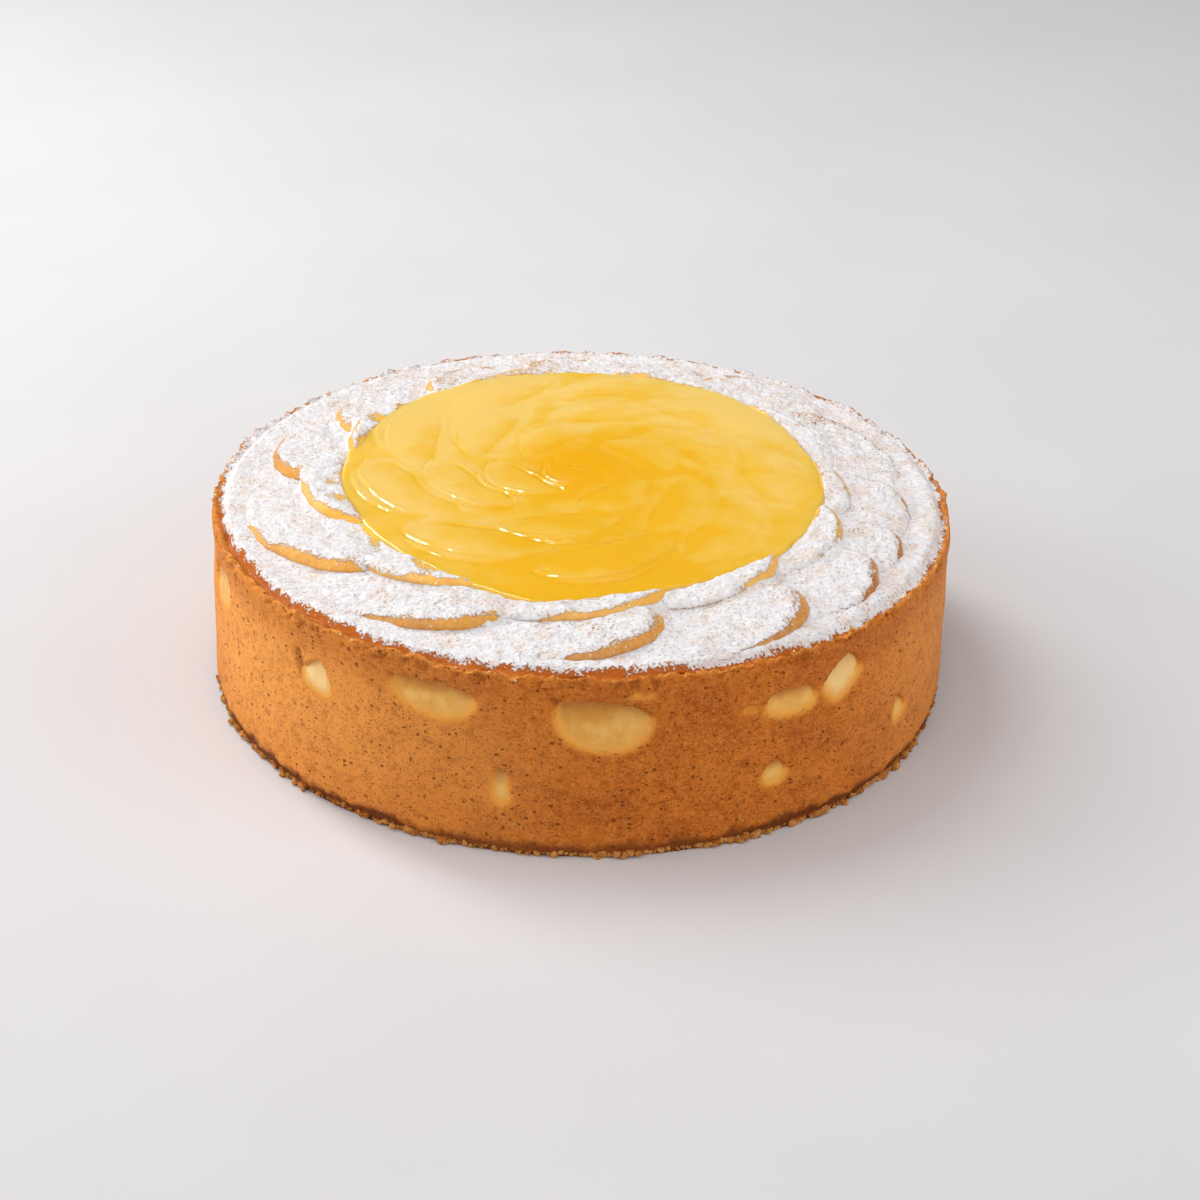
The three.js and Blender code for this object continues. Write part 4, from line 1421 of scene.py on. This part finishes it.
class TART_OT_glaze(bpy.types.Operator):
    """Makes the glazed rosette: a pool of glaze that swells over the slices sunk in it"""

    bl_idname = "tart.glaze"
    bl_label = "Glazed rosette"

    def execute(self, context):
        look = context.scene.tart_glaze
        half = POOL_RADIUS + GLAZE_MARGIN
        tree = slice_tree(petals())
        line, raw, hits = height_field(tree, half, GLAZE_CELL, lambda x, y: np.full(x.shape, POOL_LEVEL))
        # Slices show less in the right half
        calm = 1 - CALM_SHARE * smooth(*CALM_RIGHT, line)[None, :]
        soft, crisp = (blurred(raw, width / GLAZE_CELL) for width in (SWELL_SOFT, SWELL_CRISP))
        swells = lerp(soft, crisp, SWELL_SHARE)
        melted = POOL_LEVEL + (swells - POOL_LEVEL) * calm
        edge, crescent = petal_edges(line, hits, look.edge / MM)
        crescent = crescent * calm + 0.25 * (1 - calm)
        turn = np.arange(GLAZE_SIDES) / GLAZE_SIDES * FULL_TURN
        rim = pool_edge(turn) + POOL_RIM
        radius = rim * np.linspace(0, 1, GLAZE_RINGS + 1)[1:, None]
        flat = np.concatenate([[(0, 0, 0)], round_tart(radius, turn, 0 * radius).reshape(-1, 3)])
        x, y = flat[:, 0], flat[:, 1]
        stands = field_at(line, edge, x, y)
        broken = (0.25 + 0.75 * smooth(-0.4, 0.3, noise(flat, 9, 45))) * (1 + 0.6 * noise(flat, 1.7, 42))
        scallop = 1.5 * noise(flat, 13, 43) + 0.6 * noise(flat, 4, 44)
        height = field_at(line, melted, x, y) + 0.04 * noise(flat, 4, 41) + look.step / MM * stands * broken
        height -= smooth(0, POOL_FILM, pool_gap(x, y) + scallop) * POOL_DROP
        bottom = BED_HEIGHT + 0.3
        under = [(rim - 0.5, SHELF_HEIGHT + 0.5), (BED_RADIUS - 0.5, bottom), (CORE_RADIUS, bottom)]
        lower = [round_tart(reach, turn, np.full(GLAZE_SIDES, level)) for reach, level in under]
        points = np.concatenate([np.stack([x, y, height], axis=1), *lower, [(0, 0, bottom)]])
        mesh = mesh_of("glaze", points, grid_faces(GLAZE_RINGS + len(under), GLAZE_SIDES, flip=True))
        layers = {
            # This layer carries the pale crescents of the slices and the painted sheen by position
            "ridge": 0.13 + 0.55 * field_at(line, crescent, x, y) + painted_glaze_sheen(x, y),
            "bead": smooth(0.05, 0.3, np.abs(stands)),
            "eye": smooth(*EYE_BAND, np.hypot(x - EYE[0], y - EYE[1])) * 0.85,
        }
        underside = np.zeros(len(points) - len(flat))
        add_layers(mesh, **{name: np.concatenate([v, underside]) for name, v in layers.items()})
        show("glaze", mesh, glaze_finish(look), "glaze", "glazed_rosette")
        return {"FINISHED"}


# Loose things: rough little lumps that Geometry Nodes scatter over the pieces


def new_tree(name, *inputs):
    """Empty Geometry Nodes tree with a mesh in, a mesh out and named inputs."""
    tree = bpy.data.node_groups.new(name, "GeometryNodeTree")
    tree.interface.new_socket("Geometry", in_out="INPUT", socket_type="NodeSocketGeometry")
    tree.interface.new_socket("Geometry", in_out="OUTPUT", socket_type="NodeSocketGeometry")
    for label, kind in inputs:
        tree.interface.new_socket(label, in_out="INPUT", socket_type=kind)
    return tree, tree.nodes.new("NodeGroupInput"), tree.nodes.new("NodeGroupOutput")


def tree_node(tree, kind, settings=(), **inputs):
    """New node of a tree with its settings and its inputs by name."""
    node = tree.nodes.new(kind)
    for key, value in dict(settings).items():
        setattr(node, key, value)
    for key, value in inputs.items():
        socket = next(s for s in node.inputs if s.name == key.replace("_", " ") and s.enabled)
        if isinstance(value, bpy.types.NodeSocket):
            tree.links.new(value, socket)
        else:
            socket.default_value = value
    return node


def random_value(tree, low, high, seed, kind="FLOAT"):
    """Random number or vector for each point."""
    node = tree_node(tree, "FunctionNodeRandomValue", {"data_type": kind}, Min=low, Max=high, Seed=seed)
    return next(s for s in node.outputs if s.enabled)


def scatter_tree(name, seed, detail, spread, rough, largest):
    """Scatters rough little lumps over a mesh, by the chance that it carries, few of them large."""
    tree, start, end = new_tree(
        name, ("Density", "NodeSocketFloat"), ("Radius", "NodeSocketFloat"), ("Finish", "NodeSocketMaterial")
    )
    chance = tree_node(tree, "GeometryNodeInputNamedAttribute", {"data_type": "FLOAT"}, Name="chance")
    density = tree_node(tree, "ShaderNodeMath", {"operation": "MULTIPLY"})
    tree.links.new(chance.outputs[0], density.inputs[0])
    tree.links.new(start.outputs["Density"], density.inputs[1])
    scattered = tree_node(
        tree, "GeometryNodeDistributePointsOnFaces",
        Mesh=start.outputs["Geometry"], Density=density.outputs[0], Seed=seed,
    )
    lump = tree_node(tree, "GeometryNodeMeshIcoSphere", Radius=start.outputs["Radius"], Subdivisions=detail)
    sizes = random_value(tree, (1 - spread,) * 3, (1 + spread,) * 3, seed + 1, "FLOAT_VECTOR")
    rare = tree_node(tree, "ShaderNodeMath", {"operation": "POWER"})
    tree.links.new(random_value(tree, 0.0, 1.0, seed + 4), rare.inputs[0])
    rare.inputs[1].default_value = LARGE_RARENESS
    bulk = tree_node(
        tree, "ShaderNodeMapRange", Value=rare.outputs[0], To_Min=SMALLEST_LUMP, To_Max=largest
    )
    scaled = tree_node(tree, "ShaderNodeVectorMath", {"operation": "SCALE"})
    tree.links.new(sizes, scaled.inputs[0])
    tree.links.new(bulk.outputs[0], scaled.inputs["Scale"])
    turns = random_value(tree, (0.0,) * 3, (LUMP_TURN,) * 3, seed + 2, "FLOAT_VECTOR")
    copies = tree_node(
        tree, "GeometryNodeInstanceOnPoints", Points=scattered.outputs["Points"],
        Instance=lump.outputs["Mesh"], Rotation=turns, Scale=scaled.outputs[0],
    )
    real = tree_node(tree, "GeometryNodeRealizeInstances", Geometry=copies.outputs[0])
    jog = random_value(tree, (-rough,) * 3, (rough,) * 3, seed + 3, "FLOAT_VECTOR")
    push = tree_node(tree, "ShaderNodeVectorMath", {"operation": "SCALE"})
    tree.links.new(jog, push.inputs[0])
    tree.links.new(start.outputs["Radius"], push.inputs["Scale"])
    moved = tree_node(tree, "GeometryNodeSetPosition", Geometry=real.outputs[0], Offset=push.outputs[0])
    finished = tree_node(
        tree, "GeometryNodeSetMaterial", Geometry=moved.outputs[0], Material=start.outputs["Finish"]
    )
    tree.links.new(finished.outputs[0], end.inputs["Geometry"])
    return tree


def grown(name, host, tree, **values):
    """Plain mesh of what a tree makes on a host mesh, its inputs set by their identifiers."""
    holder = bpy.data.objects.new(f"{name}_host", host)
    bpy.context.scene.collection.objects.link(holder)
    maker = holder.modifiers.new("Maker", "NODES")
    maker.node_group = tree
    for item in tree.interface.items_tree:
        if item.in_out == "INPUT" and item.name in values:
            maker[item.identifier] = values[item.name]
    graph = bpy.context.evaluated_depsgraph_get()
    mesh = bpy.data.meshes.new_from_object(holder.evaluated_get(graph))
    mesh.name = name
    holder.modifiers.remove(maker)
    bpy.data.objects.remove(holder)
    return mesh


def scattered(name, layer, count, radius, finish, tree):
    """Mesh of loose things scattered over the pieces that carry a layer, by its number as their chance."""
    points, faces, chances = [], [], []
    start = 0
    weight = 0.0
    for piece in [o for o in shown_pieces() if layer in o.data.attributes]:
        mesh = piece.data
        chance = np.zeros(len(mesh.vertices), np.float32)
        mesh.attributes[layer].data.foreach_get("value", chance)
        for face in mesh.polygons:
            share = [chance[i] for i in face.vertices]
            if min(share) > LEAST_CHANCE:
                faces.append([i + start for i in face.vertices])
                weight += face.area * sum(share) / len(share)
        points.append(points_of(mesh))
        chances.append(chance)
        start += len(chance)
    host = mesh_of(f"{name}_host", np.concatenate(points), faces)
    add_layers(host, chance=np.concatenate(chances))
    return grown(name, host, tree, Density=count / weight, Radius=radius, Finish=finish)


class TART_OT_grains(bpy.types.Operator):
    """Scatters loose sugar grains along the lip and the bare edges of the slices"""

    bl_idname = "tart.grains"
    bl_label = "Sugar grains"

    def execute(self, context):
        look = context.scene.tart_loose
        tree = scatter_tree("Sugar grains", seed=3, detail=1, spread=0.5, rough=0.25, largest=1.6)
        finish = speckled_finish("sugar_grain", look.white, look.cream, size=3, roughness=0.55)
        mesh = scattered("sugar_grains", "grain", look.grains, look.grain, finish, tree)
        show("sugar_grains", mesh, finish, "sugared_pear")
        return {"FINISHED"}


class TART_OT_crumbs(bpy.types.Operator):
    """Scatters crumbs along the foot of the wall"""

    bl_idname = "tart.crumbs"
    bl_label = "Crumbs"

    def execute(self, context):
        look = context.scene.tart_loose
        tree = scatter_tree("Crumbs", seed=11, detail=2, spread=0.5, rough=0.42, largest=2.7)
        finish = speckled_finish("crumb", look.golden, look.brown, size=2.5, roughness=0.75)
        mesh = scattered("crumbs", "crumb", look.crumbs, look.crumb, finish, tree)
        points = points_of(mesh)
        points[:, 2] = np.maximum(points[:, 2], 0)
        move_points(mesh, points)
        show("crumbs", mesh, finish, "crust")
        return {"FINISHED"}


def make_floor(colour):
    """Wide pale floor with faint clouds."""
    mesh = bpy.data.meshes.new("floor")
    bm = bmesh.new()
    bmesh.ops.create_circle(bm, cap_ends=True, segments=96, radius=FLOOR_RADIUS)
    bm.to_mesh(mesh)
    bm.free()
    f = Finish("pale_floor", Specular_IOR_Level=0.2)
    clouds = f.span(f.cloud(160), 0.3, 0.7, 0.0, 0.06)
    mesh.materials.append(f.done(f.mix(clouds, colour, (1, 1, 1)), 0.7))
    floor = bpy.data.objects.new("floor", mesh)
    bpy.context.scene.collection.objects.link(floor)
    floor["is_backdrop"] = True


def make_room(strength):
    """Light from all round, dark high up behind the tart, so that the glaze mirrors little of it."""
    world = bpy.data.worlds.new("room")
    world.use_nodes = True
    tree = world.node_tree
    place = tree.nodes.new("ShaderNodeTexCoord").outputs["Generated"]
    split = tree_node(tree, "ShaderNodeSeparateXYZ", Vector=place)
    behind = tree_node(
        tree, "ShaderNodeMapRange", Value=split.outputs["Y"],
        From_Min=-0.2, From_Max=0.75, To_Min=strength * 1.2, To_Max=strength * 0.1,
    )
    low = tree_node(
        tree, "ShaderNodeMapRange", Value=split.outputs["Z"],
        From_Min=0.25, From_Max=0.05, To_Min=0.0, To_Max=strength * 0.6,
    )
    most = tree_node(tree, "ShaderNodeMath", {"operation": "MAXIMUM"})
    tree.links.new(behind.outputs[0], most.inputs[0])
    tree.links.new(low.outputs[0], most.inputs[1])
    background = tree.nodes["Background"]
    background.inputs["Color"].default_value = ROOM_COLOUR
    tree.links.new(most.outputs[0], background.inputs["Strength"])
    bpy.context.scene.world = world


def make_light(name, power, place, width, height, mirrored):
    """Oblong soft light that looks at the tart, and that gloss mirrors or doesn't."""
    data = bpy.data.lights.new(name, "AREA")
    data.shape = "RECTANGLE"
    data.energy = power
    data.size = width
    data.size_y = height
    light = bpy.data.objects.new(name, data)
    light.location = place
    light.visible_glossy = mirrored
    light.rotation_euler = (LIGHT_TARGET - Vector(place)).to_track_quat("-Z", "Y").to_euler()
    bpy.context.scene.collection.objects.link(light)


def make_camera(lens):
    """Camera that sees the tart as in the photograph."""
    level = math.cos(CAMERA_PITCH)
    ahead = Vector((math.sin(CAMERA_YAW) * level, math.cos(CAMERA_YAW) * level, -math.sin(CAMERA_PITCH)))
    right = ahead.cross(Vector((0, 0, 1))).normalized()
    above = right.cross(ahead)
    tilted = right * math.cos(CAMERA_ROLL) + above * math.sin(CAMERA_ROLL)
    raised = above * math.cos(CAMERA_ROLL) - right * math.sin(CAMERA_ROLL)
    camera = bpy.data.objects.new("camera", bpy.data.cameras.new("camera"))
    camera.data.lens = lens
    camera.data.sensor_width = SENSOR_WIDTH
    camera.data.clip_start = 0.01
    camera.matrix_world = Matrix((tilted, raised, -ahead)).transposed().to_4x4()
    camera.location = CAMERA_PLACE
    bpy.context.scene.collection.objects.link(camera)
    bpy.context.scene.camera = camera


class TART_OT_stage(bpy.types.Operator):
    """Makes the plain floor, the soft light and the camera"""

    bl_idname = "tart.stage"
    bl_label = "Stage"

    def execute(self, context):
        look = context.scene.tart_stage
        make_floor(look.floor)
        make_room(look.world)
        for name, form in LIGHTS.items():
            make_light(name, getattr(look, name), *form)
        make_camera(look.lens)
        context.scene.view_settings.view_transform = "Standard"
        return {"FINISHED"}


class TART_PT_panel(bpy.types.Panel):
    """Lists the steps that dress the tart"""

    bl_idname = "TART_PT_panel"
    bl_label = "Pear tart"
    bl_space_type = "VIEW_3D"
    bl_region_type = "UI"
    bl_category = "Tart"

    def draw(self, context):
        for operator in OPERATORS:
            self.layout.operator(operator.bl_idname)
        for name in SETTINGS:
            group = getattr(context.scene, name)
            box = self.layout.box()
            for key in group.__annotations__:
                box.prop(group, key)


OPERATORS = (
    TART_OT_crust, TART_OT_side_pears, TART_OT_slices, TART_OT_drifts, TART_OT_glaze,
    TART_OT_grains, TART_OT_crumbs, TART_OT_stage,
)
SETTINGS = {
    "tart_crust": TartCrustSettings,
    "tart_sugar": TartSugarSettings,
    "tart_pear": TartPearSettings,
    "tart_slices": TartSliceSettings,
    "tart_glaze": TartGlazeSettings,
    "tart_loose": TartLooseSettings,
    "tart_stage": TartStageSettings,
}


def register():
    """Registers the settings, operators and panel."""
    for name, group in SETTINGS.items():
        bpy.utils.register_class(group)
        setattr(bpy.types.Scene, name, bpy.props.PointerProperty(type=group))
    for kind in (*OPERATORS, TART_PT_panel):
        bpy.utils.register_class(kind)


def unregister():
    """Takes away what register added."""
    for kind in (TART_PT_panel, *reversed(OPERATORS)):
        bpy.utils.unregister_class(kind)
    for name, group in SETTINGS.items():
        delattr(bpy.types.Scene, name)
        bpy.utils.unregister_class(group)


def main():
    """Dresses the tart."""
    register()
    bpy.ops.tart.stage()
    bpy.ops.tart.crust()
    bpy.ops.tart.side_pears()
    bpy.ops.tart.slices()
    bpy.ops.tart.drifts()
    bpy.ops.tart.glaze()
    bpy.ops.tart.grains()
    bpy.ops.tart.crumbs()


if __name__ == "__main__":
    main()
